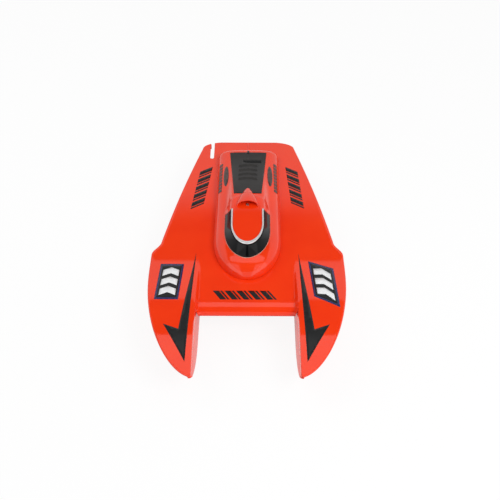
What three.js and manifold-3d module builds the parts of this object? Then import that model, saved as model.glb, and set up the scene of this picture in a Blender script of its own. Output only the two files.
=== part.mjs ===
// Radio-controlled three-point racing hydroplane: twin bow sponsons, tunnel deck, lift-off cowl,
// inboard electric drive, transom strut, propeller and steered rudder.
// Millimetres. The bow points along -Y, the transom faces +Y, +Z is up, and starboard is -X.
// Inside this file a length "aft" is measured from the tips of the bow sponsons.
import * as THREE from 'three';
import { mergeVertices } from 'three/addons/utils/BufferGeometryUtils.js';
import Module from 'manifold-3d';

const wasm = await Module();
wasm.setup();

// ---------------------------------------------------------------- driving dimensions

const gap = 0.3;               // between faces that touch on the real boat
const runningGap = 0.35;       // between a shaft and its bore, on the radius

const hullLength = 574;
const beam = 318.6;
const deckHeight = 62;
const sternOverhang = 43;      // from the transom edge of the deck to the end of the propeller nut
const skin = 2;                // glass-fibre wall of the hull mouldings
const deckLip = 12;            // down-turned edge of the deck moulding
const tipLip = 5.5;            // the same edge at the sponson tips
const tuckUnder = 0.8;         // the bow sides fall aft by this share of their depth
const flangeGap = 0.6;         // between that edge and the bonding flange inside it

const tunnelWidth = 160;       // between the sponsons
const keelShare = 0.62;        // of a sponson's width that is flat below
const foamSetIn = new THREE.Vector2(6, 9);        // flotation, from the tunnel side and the chine
const bowGap = 128;            // from the sponson tips back to the leading edge of the tunnel deck
const leadingRadius = 18;      // length over which the tunnel deck rolls down at its front
const leadingDrop = 12;
const sponsonRise = 9;         // height of the sponson decks above the tunnel deck
const ridgeWidth = 5;          // width of the sloping inner wall between them
const sponsonEnd = 270;        // aft face of the sponsons
const sponsonRun = 110;        // where the curved sponson bottom becomes flat
const tipRadius = 0.6;
const tipDepth = 4;            // depth of a sponson at its tip
const tipRound = 5;            // radius of its inner corner in plan

const maxBeamFrom = 235;
const maxBeamTo = 256;
const stepEnd = 285;
const sternHalf = 82.58;       // half breadth where the stern's corners begin to turn
const sternLean = 0.7603;      // share of the narrowing that is straight, the rest is curved
const stepWidth = 14;          // how far the deck steps in behind each sponson
const sternCorner = new THREE.Vector2(42, 20);

const tubHalfFront = 76.5;
const tubHalf = 60;
const tubBottom = 26;
const tubTaperEnd = 330;
const tubBowSetback = 4;
const transomSetback = 5;

const cowlNose = 195;
const cowlTailGap = 46;
const cowlHalf = 56.5;
const cowlNoseLength = 88;
const cowlTailCorner = new THREE.Vector2(16, 14);
const cowlSkin = 1.6;
const cowlBodyHeight = 24;
const canopyHeight = 14;       // the greenhouse above the cowl body
const hatchInset = 11;
const coamingHeight = 4;
const coamingWidth = 2;

const screenHalf = new THREE.Vector2(37.5, 27);   // half width at the foot and at the roof edge
const screenReach = new THREE.Vector2(66, 51);    // length of the rounded front, foot and roof edge
const screenCentre = 93;       // from the cowl's nose to the centre of both round fronts
const screenEnds = new THREE.Vector2(131, 129);   // aft ends, at the foot and at the roof edge
const trimWidth = 1.8;
const skinPlate = 1.1;         // thickness of the parts bonded on the cowl

const scoopFace = 136;         // from the cowl's nose
const scoopLength = 49;
const scoopHalf = 20;
const scoopHeight = 10;
const cowlScrewRadius = 1.5;
const cowlScrewHead = 2.75;
const cowlScrewBehindFace = 5;

const panelFront = 175;        // from the cowl's nose
const panelTailGap = 18;
const panelHalf = new THREE.Vector2(24, 34);      // half width at the front and rear edges
const louvreCount = 4;
const louvrePitch = 15.6;
const louvreHalf = 18;

const slotOffset = -69;        // centre of the deck slot, to starboard
const slotWidth = 7;
const slotLength = 54;

const motorRadius = 14;
const motorLength = 56;
const cradleFloor = 0.8;       // under the cooling jacket
const motorFromTransom = 118;
const jacketWall = 2.6;
const shaftRadius = 2.4;
const propHeight = 20;
const propRadius = 17;
const tubeRadius = 3;
const flexRadius = 1.9;
const strutRadius = 4.6;

const rudderOffset = -38;      // rudder pivot, to starboard of the propeller
const rudderAft = 17;          // rudder pivot behind the transom plate
const tillerArm = 12;
const rodHeight = 46;
const rodRadius = 1;
const servoFromTransom = 62;

const batterySize = new THREE.Vector3(36, 100, 24);
const escSize = new THREE.Vector3(30, 40, 20);
const receiverSize = new THREE.Vector3(24, 36, 13);
const sideSeat = 36;           // controller and receiver, off the centreline
const leadRadius = 1.8;
const motorLeadRadius = 1.2;
const leadStep = 4.5;          // between the motor leads, one above the other
const leadGap = 0.9;           // at the ends of leads and hoses, which arrive at a slight angle

// ---------------------------------------------------------------- places worked out from them

const deckEdge = beam / 2;
const tunnelHalf = tunnelWidth / 2;
const floorTop = tubBottom + skin;
const seat = floorTop + gap;
const transom = hullLength - transomSetback;
const cowlTail = hullLength - cowlTailGap;
const cowlBase = deckHeight + gap;
const motorRear = hullLength - motorFromTransom;
const motorHeight = seat + cradleFloor + motorRadius + gap + jacketWall;
const screwAt = cowlNose + scoopFace + cowlScrewBehindFace;
const tillerTip = rudderOffset - tillerArm;
const rudderPivot = transom + rudderAft;
const servoAxis = hullLength - servoFromTransom;
const servoShaftHeight = rodHeight - tillerArm;

// ---------------------------------------------------------------- materials

const finish = (color, roughness, metalness = 0) =>
  new THREE.MeshStandardMaterial({ color, roughness, metalness });

const orangeGloss = finish(0xf23e14, 0.12);
const blackGloss = finish(0x0c0d0f, 0.1);
const blackSatin = finish(0x17181a, 0.45);
const silverTrim = finish(0xe4e6e8, 0.25, 0.6);
const aluminium = finish(0xb9bdc2, 0.35, 1);
const steel = finish(0xa4a8ad, 0.3, 1);
const brass = finish(0xc2a04e, 0.35, 1);
const rubber = finish(0x1d1d1e, 0.85);
const foam = finish(0xe9e6dc, 0.95);
const siliconeHose = finish(0x9fc4de, 0.4);
const batteryWrap = finish(0x23406e, 0.4);
const nylon = finish(0x222326, 0.6);
const webbing = finish(0x151517, 0.9);

// ---------------------------------------------------------------- geometry helpers

const smooth = (value, from, to) => THREE.MathUtils.smoothstep(value, from, to);
const roundRise = (u) => Math.sqrt(Math.max(0, 1 - (1 - u) * (1 - u)));

function solid(geometry) {
  const bare = geometry.clone();
  bare.deleteAttribute('normal');
  bare.deleteAttribute('uv');
  const merged = mergeVertices(bare, 1e-4);
  return new wasm.Manifold(new wasm.Mesh({
    numProp: 3,
    vertProperties: new Float32Array(merged.attributes.position.array),
    triVerts: new Uint32Array(merged.index.array),
  }));
}

function geometryOf(body) {
  const mesh = body.getMesh();
  const geometry = new THREE.BufferGeometry();
  geometry.setAttribute('position', new THREE.BufferAttribute(mesh.vertProperties, 3));
  geometry.setIndex(new THREE.BufferAttribute(mesh.triVerts, 1));
  geometry.computeVertexNormals();
  return geometry;
}

// A closed skin through rings of points that all have the same count, with flat ends.
// Each ring runs anticlockwise as seen from the bow and lies across the boat.
function loft(rings) {
  const count = rings[0].length;
  const positions = rings.flatMap((ring) => ring.flatMap((point) => point.toArray()));
  const indices = [];
  for (let r = 0; r + 1 < rings.length; r += 1) {
    for (let i = 0; i < count; i += 1) {
      const a = r * count + i;
      const b = r * count + (i + 1) % count;
      indices.push(a, a + count, b, b, a + count, b + count);
    }
  }
  const endCap = (ring, start, towardsBow) => {
    const outline = ring.map((point) => new THREE.Vector2(point.x, point.z));
    for (const [a, b, c] of THREE.ShapeUtils.triangulateShape(outline, [])) {
      indices.push(start + a, ...(towardsBow ? [start + b, start + c] : [start + c, start + b]));
    }
  };
  endCap(rings[0], 0, true);
  endCap(rings.at(-1), (rings.length - 1) * count, false);
  const geometry = new THREE.BufferGeometry();
  geometry.setAttribute('position', new THREE.Float32BufferAttribute(positions, 3));
  geometry.setIndex(indices);
  return geometry;
}

function box(width, length, height, x = 0, y = 0, z = 0) {
  return new THREE.BoxGeometry(width, length, height).translate(x, y, z + height / 2);
}

function cylinder(radius, length, axis, segments = 20) {
  const geometry = new THREE.CylinderGeometry(radius, radius, length, segments);
  if (axis === 'x') geometry.rotateZ(-Math.PI / 2);
  if (axis === 'z') geometry.rotateX(Math.PI / 2);
  return geometry;
}

function tubeAlong(points, radius, bore, steps, sides = 6) {
  const section = new THREE.Shape().absarc(0, 0, radius, 0, Math.PI * 2);
  if (bore > 0) section.holes.push(new THREE.Path().absarc(0, 0, bore, 0, Math.PI * 2, true));
  const path = new THREE.CatmullRomCurve3(points.map((point) => new THREE.Vector3(...point)));
  return new THREE.ExtrudeGeometry(section, { steps, curveSegments: sides, extrudePath: path });
}

// A flat plate: its outline lies in the X-Y plane, and it rises from the height base.
function plate(shape, base, height, curveSegments = 8) {
  const flat = { depth: height, bevelEnabled: false, curveSegments };
  return new THREE.ExtrudeGeometry(shape, flat).translate(0, 0, base);
}

function ringCut(outer, inner) {
  return solid(outer).subtract(solid(inner));
}

const boat = new THREE.Group();

function piece(name, shape, material) {
  const geometry = shape instanceof THREE.BufferGeometry ? shape : geometryOf(shape);
  const mesh = new THREE.Mesh(geometry, material);
  mesh.name = name;
  boat.add(mesh);
  return mesh;
}

// ---------------------------------------------------------------- hull lines

// Half the width of the deck. The bow fills out quickly, the sides step in behind the sponsons,
// and the stern tapers to elliptical corners.
function halfBreadth(aft) {
  const sternStart = hullLength - sternCorner.y;
  const along = THREE.MathUtils.clamp(aft, tipRadius, sternStart);
  if (along <= maxBeamFrom) {
    const u = along / maxBeamFrom;
    return tunnelHalf + (deckEdge - tunnelHalf) * (1 - (1 - u) ** 2.3) ** 0.62;
  }
  if (along <= stepEnd) return deckEdge - stepWidth * smooth(along, maxBeamTo, stepEnd);
  const run = along - stepEnd;
  const share = run / (hullLength - stepEnd);
  const narrowing = deckEdge - stepWidth - sternHalf;
  const taper = deckEdge - stepWidth - narrowing * (sternLean * share + (1 - sternLean) * share ** 2);
  const round = (aft - sternStart) / sternCorner.y;
  if (round <= 0) return taper;
  return taper - sternCorner.x * (1 - Math.sqrt(Math.max(0, 1 - round * round)));
}

const lipDepth = (aft) => tipLip + (deckLip - tipLip) * smooth(aft, 15, sponsonRun);

// The inner edge of a sponson's deck turns outwards around a small corner at the tip.
const tipInset = (aft) => tipRound * (1 - roundRise(Math.min(1, aft / tipRound)));

// Where the side stands at a depth below the edge of the deck.
const sideAt = (aft, depth) => Math.min(halfBreadth(aft), halfBreadth(aft - tuckUnder * depth));

function deckTop(x, aft) {
  const across = smooth(Math.abs(x), tunnelHalf - ridgeWidth, tunnelHalf);
  const along = (1 - smooth(aft, 125, 250)) * smooth(aft, -25, 75);
  const intoRoll = THREE.MathUtils.clamp((bowGap + leadingRadius - aft) / leadingRadius, 0, 1);
  const roll = leadingDrop * (1 - Math.sqrt(1 - intoRoll * intoRoll)) * (1 - across);
  return deckHeight + sponsonRise * across * along - roll;
}

const deckStations = [
  0, 2, 5, 14, 30, 52, 80, sponsonRun, bowGap + 1, bowGap + 4, bowGap + 9, bowGap + leadingRadius,
  175, 210, maxBeamFrom, maxBeamTo, 263, sponsonEnd, 278, stepEnd, 380, 470,
  hullLength - sternCorner.y, hullLength - 10, hullLength - 4, hullLength - 1, hullLength,
];

// ---------------------------------------------------------------- hull mouldings

function deckRing(aft) {
  const edge = halfBreadth(aft);
  const inner = [0, 40, cowlHalf, tunnelHalf - ridgeWidth, tunnelHalf];
  const outward = [0.4, 0.8, 0.95];
  const reach = Math.min(1, (edge - 1) / tunnelHalf / 1.02);
  const columnsTo = (limit) => [
    ...inner.map((x) => x * reach),
    ...outward.map((share) => tunnelHalf * reach + (limit - tunnelHalf * reach) * share),
    limit,
  ];
  const top = columnsTo(edge).map((x, i, all) => [x, deckTop(x, aft) - (i === all.length - 1 ? 2.5 : 0)]);
  const lip = lipDepth(aft);
  const foot = deckTop(edge, aft) - lip;
  const tuck = sideAt(aft, lip);
  const under = columnsTo(edge - skin).map((x) => [x, deckTop(x, aft) - skin]);
  under[under.length - 1][1] -= 2.5;
  const right = [...top, [tuck, foot], [tuck - skin, foot], ...under.toReversed()];
  const starboardTop = top.slice(1).toReversed().map(([x, z]) => [-x, z]);
  const starboardUnder = under.slice(1).map(([x, z]) => [-x, z]);
  const ring = [
    ...starboardTop, ...right, ...starboardUnder, [-(tuck - skin), foot], [-tuck, foot],
  ];
  return ring.toReversed().map(([x, z]) => new THREE.Vector3(x, aft, z));
}

// The cowl's outline on the deck, moved in by inset.
function cowlHalfWidth(aft, inset = 0) {
  const nose = cowlNose + cowlNoseLength;
  const tail = cowlTail - cowlTailCorner.y;
  const half = cowlHalf - inset;
  if (aft < nose) {
    const u = (nose - aft) / (cowlNoseLength - inset);
    return half * Math.sqrt(Math.max(0, 1 - u * u));
  }
  if (aft < tail) return half;
  const u = Math.min(1, (aft - tail) / (cowlTailCorner.y - Math.min(inset, cowlTailCorner.y - 2)));
  return half - cowlTailCorner.x * (1 - Math.sqrt(Math.max(0, 1 - u * u)));
}

function cowlOutline(inset) {
  const from = cowlNose + inset;
  const tail = cowlTail - cowlTailCorner.y;
  const to = tail + cowlTailCorner.y - Math.min(inset, cowlTailCorner.y - 2);
  const noseEnd = cowlNose + cowlNoseLength;
  const stations = [0.004, 0.03, 0.1, 0.25, 0.5, 0.75, 1].map((u) => THREE.MathUtils.lerp(from, noseEnd, u));
  stations.push(tail, ...[0.5, 0.85, 1].map((u) => THREE.MathUtils.lerp(tail, to, u)));
  const port = stations.map((aft) => new THREE.Vector2(cowlHalfWidth(aft, inset), aft));
  const starboard = port.toReversed().map((point) => new THREE.Vector2(-point.x, point.y));
  return new THREE.Shape([...port, ...starboard]);
}

function slotOutline(width, length) {
  const end = hullLength - length + width / 2;
  const shape = new THREE.Shape();
  shape.moveTo(slotOffset + width / 2, hullLength + 5);
  shape.lineTo(slotOffset - width / 2, hullLength + 5);
  shape.lineTo(slotOffset - width / 2, end);
  shape.absarc(slotOffset, end, width / 2, Math.PI, Math.PI * 2, false);
  return shape;
}

function bowGapOutline() {
  const side = tunnelHalf - 1.5;
  const shape = new THREE.Shape();
  shape.moveTo(-side - tipRound, -10);
  shape.lineTo(-side - tipRound, 0);
  shape.absarc(-side - tipRound, tipRound, tipRound, -Math.PI / 2, 0, false);
  shape.lineTo(-side, bowGap);
  shape.lineTo(side, bowGap);
  shape.absarc(side + tipRound, tipRound, tipRound, Math.PI, Math.PI * 1.5, false);
  shape.lineTo(side + tipRound, -10);
  return shape;
}

function deckMoulding() {
  const shell = solid(loft(deckStations.map(deckRing)));
  const bowCut = plate(bowGapOutline(), -20, 200);
  const coaming = ringCut(
    plate(cowlOutline(hatchInset - coamingWidth), deckHeight - skin / 2, coamingHeight + skin / 2),
    plate(cowlOutline(hatchInset), deckHeight - skin, coamingHeight + 2 * skin),
  );
  const sternLip = box(2 * (tunnelHalf - sternCorner.x), skin, deckLip - 1, 0, hullLength - skin / 2,
    deckHeight - deckLip);
  const rib = box(3, 22, 2.4, 0, hullLength - 17, deckHeight - 1);
  return shell
    .subtract(solid(bowCut))
    .add(solid(sternLip))
    .add(solid(rib))
    .subtract(solid(plate(cowlOutline(hatchInset), deckHeight - 6, 12)))
    .add(coaming)
    .subtract(solid(plate(slotOutline(slotWidth, slotLength), deckHeight - 30, 60)));
}

// Outer edge of a sponson's flat bottom.
function keelEdge(aft) {
  return tunnelHalf + (sideAt(aft, deckLip) - tunnelHalf) * keelShare;
}

// One sponson's cross-section on the port side. inset is zero for the outside face.
function sponsonRing(aft, side, inset) {
  const lipHeight = lipDepth(aft) + gap;
  const edge = sideAt(aft, lipHeight) - inset;
  const inside = tunnelHalf - 1 + inset + tipInset(aft);
  const keel = (deckHeight - tipDepth) * Math.max(0, 1 - aft / sponsonRun) ** 1.8;
  const lip = deckTop(edge, aft) - lipHeight;
  const top = lip + (inset > 0 ? deckLip + 5 : 0);
  const depth = lip - keel;
  const chine = sideAt(aft, lipHeight + depth * 0.55) - inset;
  const underRidge = THREE.MathUtils.lerp(deckTop(tunnelHalf, aft), deckTop(tunnelHalf - ridgeWidth, aft),
    1 / ridgeWidth);
  const width = edge - inside;
  const section = [
    [inside, inset > 0 ? top : underRidge - skin - gap - 0.9],
    [inside - 2 * (1 - inset / skin), keel + inset],
    [inside + (chine - inside) * keelShare, keel + inset],
    [chine - width * 0.04, keel + inset + depth * 0.45],
    [edge, lip],
    [inset > 0 ? edge : edge - skin, inset > 0 ? top : lip],
    [edge - skin - flangeGap, inset > 0 ? top : lip + Math.min(lipHeight / 2, lipHeight - tipLip)],
  ];
  const ring = section.map(([x, z]) => new THREE.Vector3(side * x, aft, z));
  return side > 0 ? ring : ring.toReversed();
}

function sponson(side) {
  const outer = deckStations.filter((aft) => aft > tipRadius && aft <= sponsonEnd);
  const hollow = [34, 60, 95, sponsonRun, 160, 210, sponsonEnd - skin];
  return solid(loft(outer.map((aft) => sponsonRing(aft, side, 0))))
    .subtract(solid(loft(hollow.map((aft) => sponsonRing(aft, side, skin)))));
}

function tubPlan(inset) {
  const front = bowGap + tubBowSetback + inset;
  const rear = transom - inset;
  const wide = tubHalfFront - inset;
  const narrow = tubHalf - inset;
  const port = [[wide, front], [wide, stepEnd], [narrow, tubTaperEnd], [narrow, rear]];
  const starboard = port.toReversed().map(([x, aft]) => [-x, aft]);
  return new THREE.Shape([...port, ...starboard].map(([x, aft]) => new THREE.Vector2(x, aft)));
}

// The tub's side view, drawn as distance aft and height, and run across the boat.
function tubProfile(inset) {
  const front = bowGap + tubBowSetback;
  const openTop = inset > 0 ? 20 : 0;
  const roll = [0, 0.25, 0.55, 1].map((share) => {
    const aft = front + share * (leadingRadius - tubBowSetback);
    return [aft, deckTop(0, aft) - skin - 3 * gap + openTop];
  });
  const outline = [
    ...roll, [transom, deckHeight - skin - gap + openTop], [transom, tubBottom + inset],
    [bowGap + 72, tubBottom + inset], [bowGap + 36, tubBottom + 4 + inset],
    [front, deckHeight - leadingDrop - skin - 2 + inset],
  ];
  const shape = new THREE.Shape(outline.map(([aft, z]) => new THREE.Vector2(aft, z)));
  const across = 2 * tunnelHalf;
  const run = new THREE.ExtrudeGeometry(shape, { depth: across, bevelEnabled: false });
  const upright = new THREE.Matrix4().makeBasis(
    new THREE.Vector3(0, 1, 0), new THREE.Vector3(0, 0, 1), new THREE.Vector3(1, 0, 0),
  );
  return run.applyMatrix4(upright).translate(-across / 2, 0, 0);
}

function tubBody(inset) {
  return solid(tubProfile(inset)).intersect(solid(plate(tubPlan(inset), -10, 120)));
}

// ---------------------------------------------------------------- cowl surface

// Height of the cowl above the deck. A rounded body carries a greenhouse that rises from the
// foot of the windscreen to the edge of the roof.
function cowlHeight(x, aft, half) {
  const noseRise = roundRise(THREE.MathUtils.clamp((aft - cowlNose) / 34, 0, 1));
  const tailFall = roundRise(THREE.MathUtils.clamp((cowlTail - aft) / 16, 0, 1));
  const settle = 1 - 0.12 * smooth(aft, cowlNose + 200, cowlTail - 10);
  const across = (1 - Math.min(1, Math.abs(x) / half) ** 4.5) ** (1 / 2.2);
  const body = cowlBodyHeight * noseRise * (0.25 + 0.75 * tailFall) * settle * across;
  const ahead = Math.max(0, cowlNose + screenCentre - aft);
  const foot = Math.hypot(x / screenHalf.x, ahead / screenReach.x);
  const roof = Math.hypot(x / screenHalf.y, ahead / screenReach.y);
  const fade = 1 - smooth(aft, cowlNose + 140, cowlNose + 305);
  if (foot >= 1) return body;
  const climb = roof <= 1 ? 1 : (1 - foot) / (1 - foot + roof - 1);
  return body + canopyHeight * climb * fade;
}

const cowlColumns = [0, 0.22, 0.44, 0.55, 0.66, 0.8, 0.91, 0.975, 0.998];

// The cowl's outer surface moved out by offset, closed underneath.
function cowlBody(offset) {
  const nose = cowlNose + cowlNoseLength;
  const shares = [0.004, 0.03, 0.09, 0.2, 0.32, 0.42, 0.52, 0.6, 0.7, 0.84, 1];
  const start = cowlNose - offset;
  const end = cowlTail + offset;
  const stations = shares.map((u) => THREE.MathUtils.lerp(start, nose, u));
  stations.push(
    cowlNose + 100, cowlNose + 140, cowlNose + 175, cowlNose + 215, cowlNose + 255, cowlNose + 300,
    cowlTail - 14, cowlTail - 8, cowlTail - 3, end,
  );
  const rings = stations.map((aft) => {
    const inside = THREE.MathUtils.clamp(aft, cowlNose + 0.3, cowlTail - 0.2);
    const half = cowlHalfWidth(inside) + offset;
    const height = (share) => cowlBase + offset + cowlHeight(share * cowlHalfWidth(inside), inside,
      cowlHalfWidth(inside));
    const port = cowlColumns.map((share) => [share * half, height(share)]).toReversed();
    const crown = [...port, ...port.toReversed().slice(1).map(([x, z]) => [-x, z])];
    const floor = offset < 0 ? cowlBase - 8 : cowlBase;
    return [[half, floor], ...crown, [-half, floor]]
      .toReversed().map(([x, z]) => new THREE.Vector3(x, aft, z));
  });
  return solid(loft(rings.map((ring) => ring.toReversed())));
}

// A U-shaped band across the canopy, wrapped round its front.
function screenOutline(grow, edge, end) {
  const centre = cowlNose + screenCentre;
  const shape = new THREE.Shape();
  const half = (edge === 0 ? screenHalf.x : screenHalf.y) + grow;
  const reach = (edge === 0 ? screenReach.x : screenReach.y) + grow;
  shape.moveTo(half, cowlNose + end);
  shape.lineTo(half, centre);
  shape.absellipse(0, centre, half, reach, 0, -Math.PI, true);
  shape.lineTo(-half, cowlNose + end);
  return shape;
}

function screenBand(outer, inner, ends) {
  const outside = plate(screenOutline(outer.grow, outer.edge, ends.x), 0, 200, 16);
  const inside = plate(screenOutline(inner.grow, inner.edge, ends.y + 30), -1, 202, 16);
  return solid(outside).subtract(solid(inside));
}

function panelOutline() {
  const front = cowlNose + panelFront;
  const rear = cowlTail - panelTailGap;
  const shape = new THREE.Shape();
  shape.moveTo(-panelHalf.x, front);
  shape.lineTo(-9, front);
  shape.absarc(0, front + 4, 10, Math.PI, 0, true);
  shape.lineTo(panelHalf.x, front);
  shape.lineTo(panelHalf.y, rear);
  shape.lineTo(-panelHalf.y, rear);
  return shape;
}

function louvre(index) {
  const middle = cowlNose + panelFront + 45 + index * louvrePitch;
  const bend = 40;
  const sweep = Math.asin(louvreHalf / bend);
  const shape = new THREE.Shape();
  shape.absarc(0, middle - bend, bend, Math.PI / 2 + sweep, Math.PI / 2 - sweep, true);
  shape.absarc(0, middle - bend, bend - 4, Math.PI / 2 - sweep, Math.PI / 2 + sweep, false);
  return plate(shape, 0, 200, 6);
}

// ---------------------------------------------------------------- build: hull

const stuffingPath = [
  [0, motorRear + 29, motorHeight],
  [0, motorRear + 45, motorHeight - 1.2],
  [0, motorRear + 80, (motorHeight + propHeight) / 2 + 1],
  [0, transom - 14, propHeight + 2.6],
  [0, transom + 1, propHeight],
  [0, transom + 6, propHeight],
];
const inletPort = new THREE.Vector3(-17, transom, 36);
const outletPort = new THREE.Vector3(34, transom, 44);

function hullTub() {
  const tubeHole = tubeAlong(stuffingPath, tubeRadius + gap, 0, 14);
  const rodHole = cylinder(rodRadius + 2, 3 * skin, 'y').translate(tillerTip, transom - 1, rodHeight);
  const inletHole = cylinder(2 + gap, 4 * skin, 'y', 12).translate(inletPort.x, transom - 1, inletPort.z);
  const outletHole = cylinder(2 + gap, 4 * skin, 'y', 12).translate(outletPort.x, transom - 1, outletPort.z);
  const drainHole = cylinder(3, 4 * skin, 'y', 12).translate(44, transom - 1, 34);
  return [tubeHole, rodHole, inletHole, outletHole, drainHole]
    .reduce((body, cut) => body.subtract(solid(cut)), tubBody(0).subtract(tubBody(skin)));
}

piece('deck', deckMoulding(), orangeGloss);
piece('hull_tub', hullTub(), orangeGloss);
piece('sponson_starboard', sponson(-1), orangeGloss);
piece('sponson_port', sponson(1), orangeGloss);

for (const [name, side] of [['starboard', -1], ['port', 1]]) {
  const blockLength = 150;
  const middle = (sponsonRun + sponsonEnd) / 2;
  const outer = keelEdge(middle - blockLength / 2) - foamSetIn.y;
  const inner = tunnelHalf + foamSetIn.x;
  const across = side * (inner + outer) / 2;
  piece(`flotation_${name}`, box(outer - inner, blockLength, 34, across, middle, skin + gap), foam);
}

const seal = ringCut(
  plate(cowlOutline(cowlSkin + 2), deckHeight + gap, 2.4),
  plate(cowlOutline(cowlSkin + 5), deckHeight, 4),
);
piece('hatch_seal', seal, rubber);

// ---------------------------------------------------------------- build: cowl

const screwBoss = cylinder(cowlScrewRadius + 0.6, 60, 'z', 16).translate(0, screwAt, cowlBase + 20);
const cowl = cowlBody(0)
  .subtract(cowlBody(-cowlSkin))
  .subtract(solid(screwBoss));
piece('cowl', cowl, orangeGloss);

const bondedSkin = cowlBody(gap + skinPlate).subtract(cowlBody(gap));
const trimBand = screenBand({ grow: trimWidth, edge: 1 }, { grow: 0, edge: 1 },
  new THREE.Vector2(screenEnds.y, screenEnds.y));
piece('windscreen_trim', bondedSkin.intersect(trimBand), silverTrim);

const glassBand = screenBand({ grow: -0.6, edge: 0 }, { grow: trimWidth + gap, edge: 1 }, screenEnds);
piece('windscreen', bondedSkin.intersect(glassBand), blackGloss);

const panelSkin = cowlBody(gap + skinPlate).subtract(cowlBody(gap));
const panelBlank = solid(plate(panelOutline(), 0, 200));
const louvreSkin = cowlBody(gap + 2 * skinPlate).subtract(cowlBody(gap));
let panel = panelSkin.intersect(panelBlank);
for (let i = 0; i < louvreCount; i += 1) {
  panel = panel.add(louvreSkin.intersect(solid(louvre(i))));
}
const ventSlot = box(34, 9, 200, 8, cowlTail - panelTailGap - 30, 0);
piece('vent_panel', panel.subtract(solid(ventSlot)), blackSatin);

// The headrest scoop is a half teardrop with an open mouth that faces the bow.
function scoopRing(share, shrink) {
  const aft = cowlNose + scoopFace + share * scoopLength - (shrink > 0 ? 1 : 0);
  const half = scoopHalf * (1 - share ** 1.7) - shrink;
  const roof = cowlBase + cowlBodyHeight + canopyHeight;
  const height = roof + scoopHeight * (1 - share ** 1.6) - shrink;
  const arc = [0, 30, 60, 90, 120, 150, 180].map((degrees) => {
    const angle = THREE.MathUtils.degToRad(degrees);
    return [half * Math.cos(angle), roof - 6 + (height - roof + 6) * Math.sin(angle) ** 0.8];
  });
  return [[half, roof - 12], ...arc, [-half, roof - 12]]
    .map(([x, z]) => new THREE.Vector3(x, aft, z));
}

function scoop() {
  const outside = loft([0, 0.25, 0.5, 0.75, 0.96].map((share) => scoopRing(share, 0)));
  const inside = loft([0, 0.25, 0.5].map((share) => scoopRing(share, 1.5)));
  return solid(outside).subtract(solid(inside)).subtract(cowlBody(gap));
}
piece('headrest_scoop', scoop(), orangeGloss);

const screwSeat = cowlBase + cowlHeight(0, screwAt, cowlHalf) + gap;
const screwHead = cylinder(cowlScrewHead, 2.4, 'z').translate(0, screwAt, screwSeat + 1.2);
const screwShank = cylinder(cowlScrewRadius, 16, 'z').translate(0, screwAt, screwSeat - 7.9);
const hexSocket = new THREE.CylinderGeometry(1.2, 1.2, 3, 6).rotateX(Math.PI / 2)
  .translate(0, screwAt, screwSeat + 2.4);
piece('cowl_screw', solid(screwHead).add(solid(screwShank)).subtract(solid(hexSocket)), steel);

const postTop = screwSeat - gap - cowlSkin - gap;
const bridgeTop = deckHeight - skin - gap;
const bridgeBar = box(2 * (cowlHalf - hatchInset) + 8, 10, 3, 0, screwAt, bridgeTop - 3);
const bridgePost = cylinder(4.5, postTop - bridgeTop + 1, 'z')
  .translate(0, screwAt, (postTop + bridgeTop - 1) / 2);
const bridgeBore = cylinder(cowlScrewRadius + runningGap, 40, 'z').translate(0, screwAt, postTop);
piece('cowl_bridge', solid(bridgeBar).add(solid(bridgePost)).subtract(solid(bridgeBore)), aluminium);

// ---------------------------------------------------------------- build: power and radio

const batteryMiddle = cowlNose + 27 + batterySize.y / 2;
piece('battery_tray', box(batterySize.x + 8, batterySize.y + 8, 2, 0, batteryMiddle, seat), nylon);
const packBase = seat + 2 + gap;
const pack = box(batterySize.x, batterySize.y, batterySize.z, 0, batteryMiddle, packBase);
piece('battery_pack', pack, batteryWrap);

for (const [name, offset] of [['front', -28], ['rear', 28]]) {
  const strapOutside = box(batterySize.x + 3.2, 18, batterySize.z + 1.6, 0, batteryMiddle + offset, packBase);
  const strapInside = box(batterySize.x + 2 * gap, 20, batterySize.z + 2 * gap, 0, batteryMiddle + offset,
    packBase - gap);
  piece(`battery_strap_${name}`, ringCut(strapOutside, strapInside), webbing);
}

const motorFront = motorRear - motorLength;
const escMiddle = motorFront - 10 - escSize.y / 2;
piece('speed_controller', box(escSize.x, escSize.y, escSize.z, -sideSeat, escMiddle, seat), blackSatin);
piece('receiver', box(receiverSize.x, receiverSize.y, receiverSize.z, sideSeat, escMiddle, seat), nylon);

// The battery leads meet the controller leads in one plug beside the cowl's post.
const plugSize = new THREE.Vector3(12, 12, 8);
const batteryRear = batteryMiddle + batterySize.y / 2;
const escFront = escMiddle - escSize.y / 2;
const plugMiddle = (batteryRear + escFront) / 2;
const plugX = -(batterySize.x / 2 + sideSeat) / 2;
const plugHeight = seat + plugSize.z / 2;
piece('battery_plug', box(plugSize.x, plugSize.y, plugSize.z, plugX, plugMiddle, seat), brass);
const batteryLead = [
  [-12, batteryRear + leadGap, packBase + 4], [-13, batteryRear + 3, packBase + 3.4],
  [plugX + 1, plugMiddle - plugSize.y / 2 - 3, plugHeight],
  [plugX, plugMiddle - plugSize.y / 2 - leadGap, plugHeight],
];
piece('battery_lead', tubeAlong(batteryLead, leadRadius, 0, 8, 4), rubber);
const controllerLead = [
  [plugX, plugMiddle + plugSize.y / 2 + leadGap, plugHeight],
  [plugX - 1, plugMiddle + plugSize.y / 2 + 3, plugHeight],
  [-sideSeat + 5, escFront - 3, plugHeight + 2], [-sideSeat + 4, escFront - leadGap, plugHeight + 2],
];
piece('controller_lead', tubeAlong(controllerLead, leadRadius, 0, 8, 4), rubber);

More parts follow.
